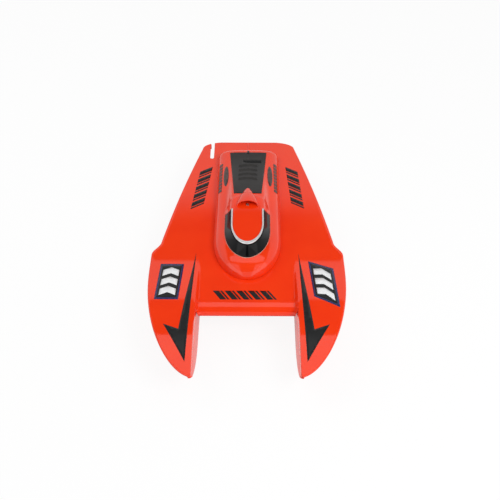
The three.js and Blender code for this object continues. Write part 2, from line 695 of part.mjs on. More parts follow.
// The switch sits beside the receiver, with a slider that runs fore and aft.
const switchAt = new THREE.Vector3(sideSeat, escMiddle + 40, seat);
const switchCase = solid(box(10, 22, 10, switchAt.x, switchAt.y, switchAt.z))
  .subtract(solid(box(4.6, 12, 4, switchAt.x, switchAt.y, switchAt.z + 8)));
piece('switch_case', switchCase, nylon);
piece('switch_slider', box(4, 5, 5.5, switchAt.x, switchAt.y - 2.5, switchAt.z + 8 + gap), rubber);

// ---------------------------------------------------------------- build: motor and drive

function sleeve(outer, inner, length, aft, height) {
  return ringCut(
    cylinder(outer, length, 'y', 24).translate(0, aft, height),
    cylinder(inner, length + 2, 'y', 24).translate(0, aft, height),
  );
}

const motorMiddle = motorRear - motorLength / 2;
const canBore = cylinder(shaftRadius + runningGap, 20, 'y').translate(0, motorRear - 4, motorHeight);
const can = solid(cylinder(motorRadius, motorLength, 'y', 24).translate(0, motorMiddle, motorHeight))
  .subtract(solid(canBore));
piece('motor', can, blackSatin);

const jacketLength = 36;
const jacketInner = motorRadius + gap;
const jacketOuter = jacketInner + jacketWall;
const nipple = (x, aft) => cylinder(1.8, 8, 'x', 12).translate(x, aft, motorHeight);
const jacketNippleX = jacketOuter + 3;
const jacket = sleeve(jacketOuter, jacketInner, jacketLength, motorMiddle, motorHeight)
  .add(solid(nipple(-jacketNippleX, motorMiddle + 12)))
  .add(solid(nipple(jacketNippleX, motorMiddle - 12)));
piece('cooling_jacket', jacket, aluminium);

const mountPlate = box(44, 3, motorHeight + motorRadius - seat, 0, motorRear + gap + 1.5, seat);
const mountFoot = box(44, 16, 3, 0, motorRear + gap + 8, seat);
const mountHole = cylinder(6, 20, 'y').translate(0, motorRear, motorHeight);
const cradleFoot = box(30, 10, motorHeight - jacketOuter + 3 - seat, 0, motorMiddle, seat);
const cradleCut = cylinder(jacketOuter + gap, 40, 'y', 24).translate(0, motorMiddle, motorHeight);
piece('motor_mount', solid(mountPlate).add(solid(mountFoot)).subtract(solid(mountHole)), aluminium);
piece('motor_cradle', solid(cradleFoot).subtract(solid(cradleCut)), nylon);

const motorShaft = cylinder(shaftRadius, 24, 'y').translate(0, motorRear + 6.4, motorHeight);
piece('motor_shaft', motorShaft, steel);
const couplerInner = shaftRadius + runningGap;
const couplerMiddle = motorRear + 17;
piece('coupler', sleeve(5, couplerInner, 16, couplerMiddle, motorHeight), aluminium);

piece('stuffing_tube', tubeAlong(stuffingPath, tubeRadius, flexRadius + gap, 14), brass);
piece('flex_shaft', tubeAlong(stuffingPath, flexRadius, 0, 14, 4), steel);

for (const index of [-1, 0, 1]) {
  const leadHeight = seat + escSize.z / 2 - index * leadStep;
  const start = [-sideSeat + 6 + index * 5, motorFront - 10 + leadGap, leadHeight];
  const end = [index * 5 - 4, motorFront - leadGap, motorHeight - index * leadStep];
  const lead = [start, [start[0] + 1.5, start[1] + 3, start[2]], [end[0] - 2, end[1] - 3, end[2]], end];
  piece(`motor_lead_${index + 2}`, tubeAlong(lead, motorLeadRadius, 0, 8, 4), rubber);
}

// Cooling water comes in through the transom, passes round the motor and leaves to port.
const nippleTip = jacketOuter + 7 + leadGap;
for (const [name, port, side, aft] of [
  ['in', inletPort, -1, motorMiddle + 12], ['out', outletPort, 1, motorMiddle - 12]]) {
  const nozzle = cylinder(2, 14, 'y', 12).translate(port.x, port.y + 1, port.z);
  piece(`water_${name}let`, nozzle, brass);
  const route = [
    [side * nippleTip, aft, motorHeight], [side * (nippleTip + 4), aft + 1, motorHeight],
    [side * (nippleTip + 8), aft + 12, motorHeight],
    [port.x, (aft + transom) / 2 - 6, (port.z + motorHeight) / 2],
    [port.x, transom - 20, port.z], [port.x, transom - 6 - leadGap, port.z],
  ];
  piece(`hose_${name}`, tubeAlong(route, 2.4, 0, 16, 4), siliconeHose);
}
const plug = solid(cylinder(2.7, 4, 'y', 16).translate(44, transom - 0.5, 34))
  .add(solid(cylinder(4.5, 2, 'y', 16).translate(44, transom + gap + 1, 34)));
piece('drain_plug', plug, rubber);

// Strut: transom bracket, upright blade and horizontal barrel on the propeller's axis.
const barrelStart = transom + 7;
const barrelEnd = transom + 27;
const barrelLength = barrelEnd - barrelStart;
const barrelMiddle = (barrelStart + barrelEnd) / 2;
const shaftBore = shaftRadius + runningGap;
const bracketBack = transom + gap;
const strutHeel = solid(box(26, 3, 20, 0, bracketBack + 1.5, propHeight + 9));
const strutArm = solid(box(5, barrelEnd - 3 - bracketBack, 12, 0, (bracketBack + barrelEnd - 3) / 2,
  propHeight + strutRadius - 1));
const strut = solid(cylinder(strutRadius, barrelLength, 'y').translate(0, barrelMiddle, propHeight))
  .add(solid(box(2.4, barrelLength - 4, propHeight - strutRadius + 1, 0, barrelMiddle, 0)))
  .add(strutArm)
  .add(strutHeel)
  .subtract(solid(cylinder(shaftBore, 80, 'y').translate(0, barrelMiddle, propHeight)));
piece('drive_strut', strut, aluminium);

const dogStart = barrelEnd + gap;
const hubStart = dogStart + 3 + gap;
const hubLength = 10;
const nutStart = hubStart + hubLength + gap;
const shaftStart = transom + 6 + gap;
const shaftEnd = hullLength + sternOverhang;
const shaftLength = shaftEnd - shaftStart;
const propShaft = cylinder(shaftRadius, shaftLength, 'y');
piece('prop_shaft', propShaft.translate(0, shaftStart + shaftLength / 2, propHeight), steel);
piece('drive_dog', sleeve(4.2, shaftBore, 3, dogStart + 1.5, propHeight), brass);

// Two twisted blades on a hub.
function propeller() {
  const hub = sleeve(4, shaftBore, hubLength, hubStart + hubLength / 2, propHeight);
  const bladeShape = new THREE.Shape();
  bladeShape.moveTo(-3.5, 3);
  bladeShape.bezierCurveTo(-9.5, 8, -8.5, propRadius, 0, propRadius);
  bladeShape.bezierCurveTo(8.5, propRadius, 7.5, 8, 3.5, 3);
  const blade = new THREE.ExtrudeGeometry(bladeShape, { depth: 1, bevelEnabled: false, curveSegments: 8 });
  blade.translate(0, 0, -0.5).rotateX(Math.PI / 2).rotateZ(THREE.MathUtils.degToRad(32));
  const other = blade.clone().rotateY(Math.PI);
  const place = (geometry) => geometry.translate(0, hubStart + hubLength / 2, propHeight);
  const bore = cylinder(shaftBore, 60, 'y').translate(0, hubStart, propHeight);
  return hub.add(solid(place(blade))).add(solid(place(other))).subtract(solid(bore));
}
piece('propeller', propeller(), brass);
const nutLength = shaftEnd - nutStart - 1;
const nut = new THREE.CylinderGeometry(4, 4, nutLength, 6).translate(0, nutStart + nutLength / 2, propHeight);
const nutBore = cylinder(shaftBore, nutLength + 2, 'y').translate(0, nutStart + nutLength / 2, propHeight);
piece('prop_nut', solid(nut).subtract(solid(nutBore)), steel);

// ---------------------------------------------------------------- build: steering

const bladeTop = 30;
const earThickness = 3;
const rudderPlateY = bracketBack + 1.5;
const earMiddle = (bracketBack + rudderPivot + 4) / 2;
const upperEar = box(8, rudderAft + 4 - gap, earThickness, rudderOffset, earMiddle, bladeTop + 8);
const lowerEar = box(8, rudderAft + 4 - gap, earThickness, rudderOffset, earMiddle, bladeTop - 6);
const earBore = cylinder(1.6 + runningGap, 60, 'z').translate(rudderOffset, rudderPivot, bladeTop);
const rudderBracket = solid(box(18, 3, 20, rudderOffset, rudderPlateY, bladeTop - 8))
  .add(solid(upperEar)).add(solid(lowerEar)).subtract(solid(earBore));
piece('rudder_bracket', rudderBracket, aluminium);

const bladeOutline = new THREE.Shape([
  [-6, bladeTop - 7], [-6, 8], [1, 2], [12, 2], [16, bladeTop - 7],
].map(([aft, height]) => new THREE.Vector2(aft, height)));
const bladePlate = new THREE.ExtrudeGeometry(bladeOutline, { depth: 3, bevelEnabled: false })
  .translate(0, 0, -1.5)
  .applyMatrix4(new THREE.Matrix4().makeBasis(
    new THREE.Vector3(0, 1, 0), new THREE.Vector3(0, 0, 1), new THREE.Vector3(1, 0, 0),
  ))
  .translate(rudderOffset, rudderPivot, 0);
const stock = cylinder(3.4, 10.4, 'z').translate(rudderOffset, rudderPivot, bladeTop + 2.5);
const tillerBase = bladeTop + 8 + earThickness + gap;
const tillerTop = rodHeight - rodRadius - 0.4;
const pinLength = tillerTop - bladeTop + 10;
const pin = cylinder(1.6, pinLength, 'z').translate(rudderOffset, rudderPivot, tillerTop - pinLength / 2);
const tillerMiddle = rudderOffset - tillerArm / 2;
const tiller = box(tillerArm + 6, 5, tillerTop - tillerBase, tillerMiddle, rudderPivot, tillerBase);
const rudder = solid(bladePlate).add(solid(stock)).add(solid(pin)).add(solid(tiller));
piece('rudder', rudder, aluminium);

const servoSide = tillerTip + 3 + rodRadius;
const servoBody = box(24, 24, 12, servoSide + 13, servoAxis, seat);
piece('servo', servoBody, nylon);
const hornHub = cylinder(3, 3, 'x').translate(servoSide - 1 - gap, servoAxis, servoShaftHeight + 0);
const hornArm = box(2, 5, tillerArm + 2, servoSide - 1 - gap, servoAxis, servoShaftHeight);
piece('servo_horn', solid(hornHub).add(solid(hornArm)), nylon);

const rodEndAft = rudderPivot + 1;
const rodStart = servoAxis - 1;
const rodX = servoSide - 2 - 2 * gap - 0.4 - rodRadius;
const rodMiddle = (rodEndAft + rodStart) / 2;
const rod = cylinder(rodRadius, rodEndAft - rodStart, 'y', 10).translate(rodX, rodMiddle, rodHeight);
piece('steering_rod', rod, steel);
const rodSeal = ringCut(
  cylinder(rodRadius + 1.6, 9, 'y', 12).translate(rodX, transom - 2, rodHeight),
  cylinder(rodRadius + gap, 12, 'y', 12).translate(rodX, transom - 2, rodHeight),
);
piece('rod_seal', rodSeal, rubber);

// Turn fin: a blade bolted to the back of the starboard sponson, just clear of the ground.
const finX = -(tunnelHalf + 38);
const finBracket = solid(box(16, 3, 22, finX, sponsonEnd + gap + 1.5, 14))
  .add(solid(box(3, 16, 22, finX + 5, sponsonEnd + gap + 8, 14)));
piece('turn_fin_bracket', finBracket, aluminium);
const finOutline = new THREE.Shape([
  [3.4, 40], [3.4, 8], [14, 1.5], [34, 1.5], [38, 12], [22, 40],
].map(([aft, height]) => new THREE.Vector2(sponsonEnd + gap + aft, height)));
const finPlate = new THREE.ExtrudeGeometry(finOutline, { depth: 2, bevelEnabled: false })
  .applyMatrix4(new THREE.Matrix4().makeBasis(
    new THREE.Vector3(0, 1, 0), new THREE.Vector3(0, 0, 1), new THREE.Vector3(1, 0, 0),
  ))
  .translate(finX + 3.2 - gap - 2, 0, 0);
piece('turn_fin', finPlate, aluminium);

boat.position.y = -(hullLength + sternOverhang) / 2;
export default boat;
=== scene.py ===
import math

import bmesh
import bpy
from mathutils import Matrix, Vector
from mathutils.geometry import delaunay_2d_cdt


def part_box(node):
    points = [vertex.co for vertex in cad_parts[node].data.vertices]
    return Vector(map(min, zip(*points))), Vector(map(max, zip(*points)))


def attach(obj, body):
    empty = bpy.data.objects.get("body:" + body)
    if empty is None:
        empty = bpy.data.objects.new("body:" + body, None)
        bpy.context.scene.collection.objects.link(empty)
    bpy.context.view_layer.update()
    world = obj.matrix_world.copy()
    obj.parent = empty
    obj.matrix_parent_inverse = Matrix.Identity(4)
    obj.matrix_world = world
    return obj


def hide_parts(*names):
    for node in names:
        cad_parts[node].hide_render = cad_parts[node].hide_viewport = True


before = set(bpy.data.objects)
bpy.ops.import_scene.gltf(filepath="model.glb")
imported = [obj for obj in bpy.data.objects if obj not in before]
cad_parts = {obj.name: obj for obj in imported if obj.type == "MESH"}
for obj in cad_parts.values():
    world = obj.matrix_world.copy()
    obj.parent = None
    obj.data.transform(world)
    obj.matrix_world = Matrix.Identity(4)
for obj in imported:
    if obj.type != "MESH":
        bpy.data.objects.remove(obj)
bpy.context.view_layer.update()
mm = 0.001

# ---------------- camera
# The camera stands ahead of the bow and looks down over the sponson tips at the deck.
deck_height = 62
camera_above_deck = 0.9145
camera_ahead_of_bow = 0.715
camera_to_port = 0.0098
camera_tilt_down = 43
camera_turn = 0.0054
camera_lens = 57.9
bow_at = round(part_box("deck")[0].y / mm, 1)
scene = bpy.context.scene
add_to_scene = scene.collection.objects.link
camera_data = bpy.data.cameras.new("camera")
camera_data.sensor_width = 36
camera_data.lens = camera_lens
camera = bpy.data.objects.new("camera", camera_data)
camera.location = (camera_to_port, bow_at * mm - camera_ahead_of_bow, deck_height * mm + camera_above_deck)
camera.rotation_euler = (math.radians(90 - camera_tilt_down), 0, camera_turn)
add_to_scene(camera)
scene.camera = camera
scene.view_settings.view_transform = "Standard"

# ---------------- studio
# A white sweep under soft light. Glossy surfaces see the bright sweep low down, a dim ceiling
# above it, one bright panel high behind the stern and two ahead of the bow, as in a light tent.
def add_node(owner, kind, settings=(), links=()):
    node = owner.node_tree.nodes.new(kind)
    for name, value in dict(settings).items():
        if isinstance(name, int) or name in node.inputs:
            node.inputs[name].default_value = value
        else:
            setattr(node, name, value)
    for name, (source, output) in dict(links).items():
        owner.node_tree.links.new(source.outputs[output], node.inputs[name])
    return node


# Heights and sides are parts of a unit direction: 1 is straight up, to port or astern.
sweep_ends = (0.628, 0.652)
ceiling_level = 0.12
panel_starts = (0.765, 0.79)
panel_astern = (0.02, 0.12)
panel_level = 1.5
bow_panel_beside = (0.1, 0.17)
bow_panel_ahead = (-0.05, -0.14)
bow_panel_level = 1.1
soft_level = 0.66
world = bpy.data.worlds.new("studio")
scene.world = world
world.use_nodes = True
world.node_tree.nodes.clear()
direction = add_node(world, "ShaderNodeTexCoord")
heading = add_node(world, "ShaderNodeSeparateXYZ", {}, {"Vector": (direction, "Generated")})
sweep_level = add_node(world, "ShaderNodeMapRange", {
    "From Min": sweep_ends[0], "From Max": sweep_ends[1], "To Min": 1, "To Max": ceiling_level,
    "interpolation_type": "SMOOTHSTEP"}, {"Value": (heading, "Z")})
high_up = add_node(world, "ShaderNodeMapRange", {
    "From Min": panel_starts[0], "From Max": panel_starts[1], "To Max": panel_level,
    "interpolation_type": "SMOOTHSTEP"}, {"Value": (heading, "Z")})
astern = add_node(world, "ShaderNodeMapRange", {
    "From Min": panel_astern[0], "From Max": panel_astern[1]}, {"Value": (heading, "Y")})
light_panel = add_node(world, "ShaderNodeMath", {"operation": "MULTIPLY"}, {
    0: (high_up, "Result"), 1: (astern, "Result")})
sideways = add_node(world, "ShaderNodeMath", {"operation": "ABSOLUTE"}, {0: (heading, "X")})
beside = add_node(world, "ShaderNodeMapRange", {
    "From Min": bow_panel_beside[0], "From Max": bow_panel_beside[1], "To Max": bow_panel_level,
    "interpolation_type": "SMOOTHSTEP"}, {"Value": (sideways, 0)})
ahead = add_node(world, "ShaderNodeMapRange", {
    "From Min": bow_panel_ahead[0], "From Max": bow_panel_ahead[1]}, {"Value": (heading, "Y")})
bow_panels = add_node(world, "ShaderNodeMath", {"operation": "MULTIPLY"}, {
    0: (beside, "Result"), 1: (ahead, "Result")})
panels = add_node(world, "ShaderNodeMath", {"operation": "ADD"}, {0: (light_panel, 0), 1: (bow_panels, 0)})
tent_level = add_node(world, "ShaderNodeMath", {"operation": "ADD"}, {
    0: (sweep_level, "Result"), 1: (panels, 0)})
tent_light = add_node(world, "ShaderNodeBackground", {}, {"Strength": (tent_level, 0)})
soft_light = add_node(world, "ShaderNodeBackground", {"Strength": soft_level})
backdrop = add_node(world, "ShaderNodeBackground", {"Strength": 1})
ray = add_node(world, "ShaderNodeLightPath")
lit = add_node(world, "ShaderNodeMixShader", {}, {
    0: (ray, "Is Glossy Ray"), 1: (soft_light, 0), 2: (tent_light, 0)})
seen = add_node(world, "ShaderNodeMath", {"operation": "MAXIMUM"}, {
    0: (ray, "Is Camera Ray"), 1: (ray, "Is Transmission Ray")})
sky = add_node(world, "ShaderNodeMixShader", {}, {0: (seen, 0), 1: (lit, 0), 2: (backdrop, 0)})
add_node(world, "ShaderNodeOutputWorld", {}, {"Surface": (sky, 0)})

for name, place, size, power in [
    ("key", (0.9, -1.0, 1.4), 0.8, 17),
    ("fill", (-1.1, 0.2, 1.5), 1.2, 7),
]:
    lamp_data = bpy.data.lights.new(name, "AREA")
    lamp_data.size = size
    lamp_data.energy = power
    lamp = bpy.data.objects.new(name, lamp_data)
    lamp.location = place
    lamp.rotation_euler = (-Vector(place)).to_track_quat("-Z", "Y").to_euler()
    lamp.visible_glossy = False
    add_to_scene(lamp)

floor_reach = 6
floor_glow = 0.91
floor_mesh = bpy.data.meshes.new("floor")
floor_mesh.from_pydata([(-floor_reach, -floor_reach, 0), (floor_reach, -floor_reach, 0),
                        (floor_reach, floor_reach, 0), (-floor_reach, floor_reach, 0)], [], [(0, 1, 2, 3)])
floor = bpy.data.objects.new("floor", floor_mesh)
add_to_scene(floor)
# White background paper. It glows a little for the eye and for reflections, and keeps the shadow.
sweep = bpy.data.materials.new("white_paper_sweep")
sweep.use_nodes = True
sweep.node_tree.nodes.clear()
paper = add_node(sweep, "ShaderNodeBsdfDiffuse", {"Color": (0.93, 0.93, 0.93, 1)})
glow = add_node(sweep, "ShaderNodeEmission", {"Strength": 1})
sweep_ray = add_node(sweep, "ShaderNodeLightPath")
mirrored = add_node(sweep, "ShaderNodeMath", {"operation": "MAXIMUM"}, {
    0: (sweep_ray, "Is Glossy Ray"), 1: (sweep_ray, "Is Transmission Ray")})
bright = add_node(sweep, "ShaderNodeMath", {"operation": "MAXIMUM"}, {
    0: (sweep_ray, "Is Camera Ray"), 1: (mirrored, 0)})
share = add_node(sweep, "ShaderNodeMath", {"operation": "MULTIPLY", 1: floor_glow}, {0: (bright, 0)})
paper_mix = add_node(sweep, "ShaderNodeMixShader", {}, {0: (share, 0), 1: (paper, 0), 2: (glow, 0)})
add_node(sweep, "ShaderNodeOutputMaterial", {}, {"Surface": (paper_mix, 0)})
floor_mesh.materials.append(sweep)

# ---------------- deck
# One glass-fibre moulding, 2 mm thick: the flat deck, the two raised sponson decks, the rolled
# leading edge and the down-turned rim. It is sprayed in orange polyurethane and polished.
def to_linear(code):
    channels = [int(code[i:i + 2], 16) / 255 for i in (0, 2, 4)]
    return (*[c / 12.92 if c <= 0.04045 else ((c + 0.055) / 1.055) ** 2.4 for c in channels], 1)

def new_material(name, shader, *textures):
    """A finish with its settings, then its textures as add_texture takes them."""
    made = bpy.data.materials.new(name)
    made.use_nodes = True
    made.node_tree.nodes.clear()
    principled = add_node(made, "ShaderNodeBsdfPrincipled", shader)
    add_node(made, "ShaderNodeOutputMaterial", {}, {"Surface": (principled, "BSDF")})
    for texture in textures:
        add_texture(made, principled, *texture)
    return made

def add_texture(made, shader, grain, colours=None, roughness=None, relief=0, stretch=(1, 1, 1)):
    """Clouded colour, roughness and relief, with grain in millimetres."""
    wire = made.node_tree.links.new
    at = add_node(made, "ShaderNodeTexCoord")
    scaled = add_node(made, "ShaderNodeMapping", {"Scale": stretch}, {"Vector": (at, "Object")})
    clouds = add_node(made, "ShaderNodeTexNoise", {"Scale": 1 / (grain * mm), "Detail": 2},
                      {"Vector": (scaled, "Vector")})
    if colours:
        ramp = add_node(made, "ShaderNodeValToRGB", {}, {"Fac": (clouds, "Fac")})
        for stop, place, code in zip(ramp.color_ramp.elements, (0.3, 0.7), colours):
            stop.position = place
            stop.color = to_linear(code)
        wire(ramp.outputs["Color"], shader.inputs["Base Color"])
    if roughness:
        sheen = add_node(made, "ShaderNodeMapRange", {"To Min": roughness[0], "To Max": roughness[1]},
                         {"Value": (clouds, "Fac")})
        wire(sheen.outputs["Result"], shader.inputs["Roughness"])
    if relief:
        bump = add_node(made, "ShaderNodeBump", {"Strength": 0.6, "Distance": relief * mm},
                        {"Height": (clouds, "Fac")})
        wire(bump.outputs["Normal"], shader.inputs["Normal"])
    return made


# Two-pack polyurethane lacquer, sprayed and polished: sharp reflections over a very slight orange peel.
lacquer = new_material("orange_polyurethane_lacquer", {"IOR": 1.5},
                       (60, ("f0350a", "f53b0e")), (2.2, None, (0.04, 0.09), 0.004))

# Sizes are in millimetres, and aft is measured from the bow tips.
half_beam = 159.3
hull_length = 574
bow_curve = (2.3, 0.62)
tunnel_half = 80
ridge_width = 5
bow_gap = 128
leading_radius = 18
leading_drop = 12
sponson_rise = 9
rise_starts = (-25, 75)
rise_ends = (125, 250)
tip_radius = 0.6
tip_round = 5
sponson_run = 110
max_beam = (235, 256)
step_end = 285
step_width = 14
stern_corner = (42, 20)
stern_half = 82.58
stern_lean = 0.7603
deck_lip = 12
tip_lip = 5.5
tip_lip_to = 15
inner_rim = 1.5
tuck_under = 0.8
rim_round = 2.5
skin = 2
running_gap = 0.3

def clamp(value, low=0.0, high=1.0):
    return max(low, min(high, value))

def smooth(value, start, end):
    u = clamp((value - start) / (end - start))
    return u * u * (3 - 2 * u)

def round_rise(u):
    return math.sqrt(max(0, 1 - (1 - u) ** 2))

def cos_of(degrees):
    return math.cos(math.radians(degrees))

def sin_of(degrees):
    return math.sin(math.radians(degrees))

def steps(start, end, count):
    return [start + (end - start) * i / count for i in range(count + 1)]

def half_breadth(aft):
    stern_start = hull_length - stern_corner[1]
    along = clamp(aft, tip_radius, stern_start)
    if along <= max_beam[0]:
        u = along / max_beam[0]
        return tunnel_half + (half_beam - tunnel_half) * (1 - (1 - u) ** bow_curve[0]) ** bow_curve[1]
    if along <= step_end:
        return half_beam - step_width * smooth(along, max_beam[1], step_end)
    run = along - step_end
    along_stern = run / (hull_length - step_end)
    narrowing = half_beam - step_width - stern_half
    narrowed = stern_lean * along_stern + (1 - stern_lean) * along_stern ** 2
    taper = half_beam - step_width - narrowing * narrowed
    into_corner = (aft - stern_start) / stern_corner[1]
    if into_corner <= 0:
        return taper
    return taper - stern_corner[0] * (1 - math.sqrt(max(0, 1 - into_corner ** 2)))

def deck_top(x, aft):
    across = smooth(abs(x), tunnel_half - ridge_width, tunnel_half)
    along = (1 - smooth(aft, *rise_ends)) * smooth(aft, *rise_starts)
    into_roll = clamp((bow_gap + leading_radius - aft) / leading_radius)
    roll = leading_drop * (1 - math.sqrt(1 - into_roll ** 2)) * (1 - across)
    return deck_height + sponson_rise * across * along - roll

def lip_depth(aft):
    return tip_lip + (deck_lip - tip_lip) * smooth(aft, tip_lip_to, sponson_run)

def tip_inset(aft):
    return tip_round * (1 - round_rise(min(1, aft / tip_round)))

def side_at(aft, depth):
    return min(half_breadth(aft), half_breadth(aft - tuck_under * depth))

def make_piece(name, points, faces, finish, body, stands_for=(), slot=None, sharp=38, closed=True):
    mesh = bpy.data.meshes.new(name)
    mesh.from_pydata([(x * mm, (aft + bow_at) * mm, z * mm) for x, aft, z in points], [], faces)
    work = bmesh.new()
    work.from_mesh(mesh)
    bmesh.ops.remove_doubles(work, verts=work.verts, dist=0.004 * mm)
    bmesh.ops.dissolve_degenerate(work, edges=work.edges, dist=0.002 * mm)
    if closed:
        bmesh.ops.recalc_face_normals(work, faces=work.faces)
    work.to_mesh(mesh)
    work.free()
    return dress(name, mesh, finish, body, stands_for, sharp)

def dress(name, mesh, finish, body, stands_for=(), sharp=38):
    mesh.materials.clear()
    mesh.materials.append(finish)
    mesh.polygons.foreach_set("use_smooth", [True] * len(mesh.polygons))
    mesh.set_sharp_from_angle(angle=math.radians(sharp))
    piece = bpy.data.objects.new(name, mesh)
    add_to_scene(piece)
    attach(piece, body)
    if stands_for:
        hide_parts(*stands_for)
    return piece

def sheet(rows):
    """Points and faces of a surface through rows of equally many points."""
    count = len(rows[0])
    faces = [(r * count + c, r * count + c + 1, (r + 1) * count + c + 1, (r + 1) * count + c)
             for r in range(len(rows) - 1) for c in range(count - 1)]
    return [point for row in rows for point in row], faces

def join(*parts):
    points, faces = [], []
    for more_points, more_faces in parts:
        faces += [tuple(i + len(points) for i in face) for face in more_faces]
        points += more_points
    return points, faces

def mirrored_rows(rows):
    return [[(-x, aft, z) for x, aft, z in reversed(row)] for row in rows]

def thicken(piece, thickness):
    """Gives a sheet its wall, inwards from its outside face."""
    shell = piece.modifiers.new("wall", "SOLIDIFY")
    shell.thickness = thickness * mm
    shell.use_even_offset = True


# The hatch in the deck follows the cowl's outline, set in all the way round.
cowl_nose = 195
cowl_tail = 528
cowl_half = 56.5
cowl_nose_length = 88
tail_corner = (16, 14)
hatch_inset = 11

def cowl_half_width(aft, inset=0):
    nose = cowl_nose + cowl_nose_length
    tail = cowl_tail - tail_corner[1]
    half = cowl_half - inset
    if aft < nose:
        u = (nose - aft) / (cowl_nose_length - inset)
        return half * math.sqrt(max(0, 1 - u * u))
    if aft < tail:
        return half
    u = min(1, (aft - tail) / (tail_corner[1] - min(inset, tail_corner[1] - 2)))
    return half - tail_corner[0] * (1 - math.sqrt(max(0, 1 - u * u)))

def rim_drop(distance):
    inward = clamp(rim_round - distance, 0, rim_round)
    return rim_round - math.sqrt(rim_round ** 2 - inward ** 2)

def deck_point(x, aft):
    edge = half_breadth(aft)
    slope = half_breadth(aft + 0.4) - half_breadth(aft - 0.4)
    to_side = (edge - x) / math.hypot(1, slope / 0.8)
    drop = rim_drop(max(0, min(to_side, hull_length - aft)))
    if aft < bow_gap:
        inner_edge = tunnel_half - inner_rim + tip_inset(aft)
        drop += 0.8 * rim_drop(max(0, 1.6 * (x - inner_edge))) * smooth(aft, bow_gap, bow_gap - 6)
    return (x, aft, deck_top(x, aft) - drop)

def outer_columns(start, edge):
    near_edge = [rim_round * share for share in (1, 0.62, 0.33, 0.13, 0)]
    scale = min(1, (edge - start) / 8)
    return steps(start, edge - near_edge[0] * scale, 16) + [edge - d * scale for d in near_edge[1:]]

def with_lip(row, aft):
    x, _, z = row[-1]
    foot = deck_top(half_breadth(aft), aft) - lip_depth(aft)
    return row + [(side_at(aft, lip_depth(aft) / 2), aft, (z + foot) / 2),
                  (side_at(aft, lip_depth(aft)), aft, foot)]

def sponson_deck_row(aft):
    edge = half_breadth(aft)
    inner_edge = tunnel_half - inner_rim + tip_inset(aft)
    rim = min(inner_rim, 0.3 * (edge - inner_edge))
    columns = [inner_edge + rim * share for share in (0, 0.13, 0.47)] + outer_columns(inner_edge + rim, edge)
    return with_lip([deck_point(x, aft) for x in columns], aft)


hatch_from = cowl_nose + hatch_inset
hatch_to = cowl_tail - hatch_inset

def main_deck_row(aft):
    edge = half_breadth(aft)
    narrow = min(1, (edge - 10) / tunnel_half)
    opening = cowl_half_width(aft, hatch_inset) if hatch_from <= aft <= hatch_to else 0
    ridge = [tunnel_half - ridge_width + step for step in (1, 2, 3, 3.5, 3.7, 4.2)]
    columns = steps(opening, (tunnel_half - ridge_width) * narrow, 14) + [x * narrow for x in ridge]
    return with_lip([deck_point(x, aft) for x in columns + outer_columns(tunnel_half * narrow, edge)], aft)


tip_rows = [0.3, 0.7, 1.2, 1.8, 2.6, 3.5, 4.6, 6, 8, 10, 12.5, 15.5, 19, 23, 27.5, 32]
front_rows = [sponson_deck_row(aft) for aft in tip_rows + steps(37, bow_gap, 18)]
roll_rows = [bow_gap + leading_radius * (1 - sin_of(a)) for a in range(90, -1, -10)]
nose_rows = [hatch_from + d for d in (-2, 0, 0.4, 1.2, 2.5, 4.5, 7, 10, 14, 18.5, 23.5)]
stern_rows = [hull_length - stern_corner[1] * (1 - sin_of(a)) for a in range(0, 91, 7)]
main_rows = [main_deck_row(aft) for aft in sorted(
    roll_rows + steps(150.5, 200, 10) + nose_rows + steps(235, hatch_to, 58) + [hatch_to + 0.3]
    + steps(522, 550, 6) + stern_rows + [hull_length])]
foot_of_deck = deck_height - deck_lip
main_rows.append([(x, hull_length, foot_of_deck) for x, _, _ in main_rows[-1]])
deck = make_piece("deck_moulding", *join(
    sheet(front_rows), sheet(mirrored_rows(front_rows)), sheet(main_rows), sheet(mirrored_rows(main_rows))),
    lacquer, "hull", ["deck"], "hull_orange", closed=False)

# An open slot runs in from the stern on the starboard side.
slot_centre = -69
slot_width = 7
slot_length = 54
slot_margin = 12

def open_slot(piece):
    """Cuts the slot through the sheet: planes round its outline, then the faces inside go."""
    work = bmesh.new()
    work.from_mesh(piece.data)
    half = slot_width / 2
    centre = Vector((slot_centre, hull_length - slot_length + half, 0))
    cuts = [(Vector((slot_centre - half, 0, 0)), (1, 0, 0)), (Vector((slot_centre + half, 0, 0)), (1, 0, 0))]
    for a in (-150, -120, -90, -60, -30):
        outward = Vector((cos_of(a), sin_of(a), 0))
        cuts.append((centre + outward * half, outward))
    planes = [(Vector((at.x, at.y + bow_at, 0)) * mm, Vector(normal)) for at, normal in cuts]
    front = (hull_length - slot_length - slot_margin + bow_at) * mm
    for at, normal in planes:
        near = [f for f in work.faces if abs(f.calc_center_median().x - slot_centre * mm) < slot_margin * mm
                and f.calc_center_median().y > front]
        edges = {e for f in near for e in f.edges}
        verts = {v for f in near for v in f.verts}
        bmesh.ops.bisect_plane(work, geom=near + list(edges) + list(verts), plane_co=at, plane_no=normal,
                               dist=1e-7)
    inside = []
    for face in work.faces:
        at = face.calc_center_median()
        if abs(at.x - planes[0][0].x - half * mm) < half * mm and all(
                (at - place).dot(normal) < 0 for place, normal in planes[2:]):
            inside.append(face)
    bmesh.ops.delete(work, geom=inside, context="FACES")
    work.to_mesh(piece.data)
    work.free()


open_slot(deck)
deck.data.set_sharp_from_angle(angle=math.radians(38))
thicken(deck, skin)


# The coaming stands round the hatch and keeps spray out; the small rib stiffens the afterdeck.
def hatch_outline(inset, count=26):
    nose = cowl_nose + cowl_nose_length
    front = [nose - (cowl_nose_length - inset) * cos_of(a) for a in steps(0, 90, count)]
    reach = tail_corner[1] - min(inset, tail_corner[1] - 2)
    tail = cowl_tail - tail_corner[1]
    rear = [tail + reach * sin_of(a) for a in steps(0, 90, 8)]
    port = [(cowl_half_width(aft, inset), aft) for aft in front + steps(nose + 12, tail - 12, 14) + rear]
    return port + [(-x, aft) for x, aft in reversed(port[1:])]

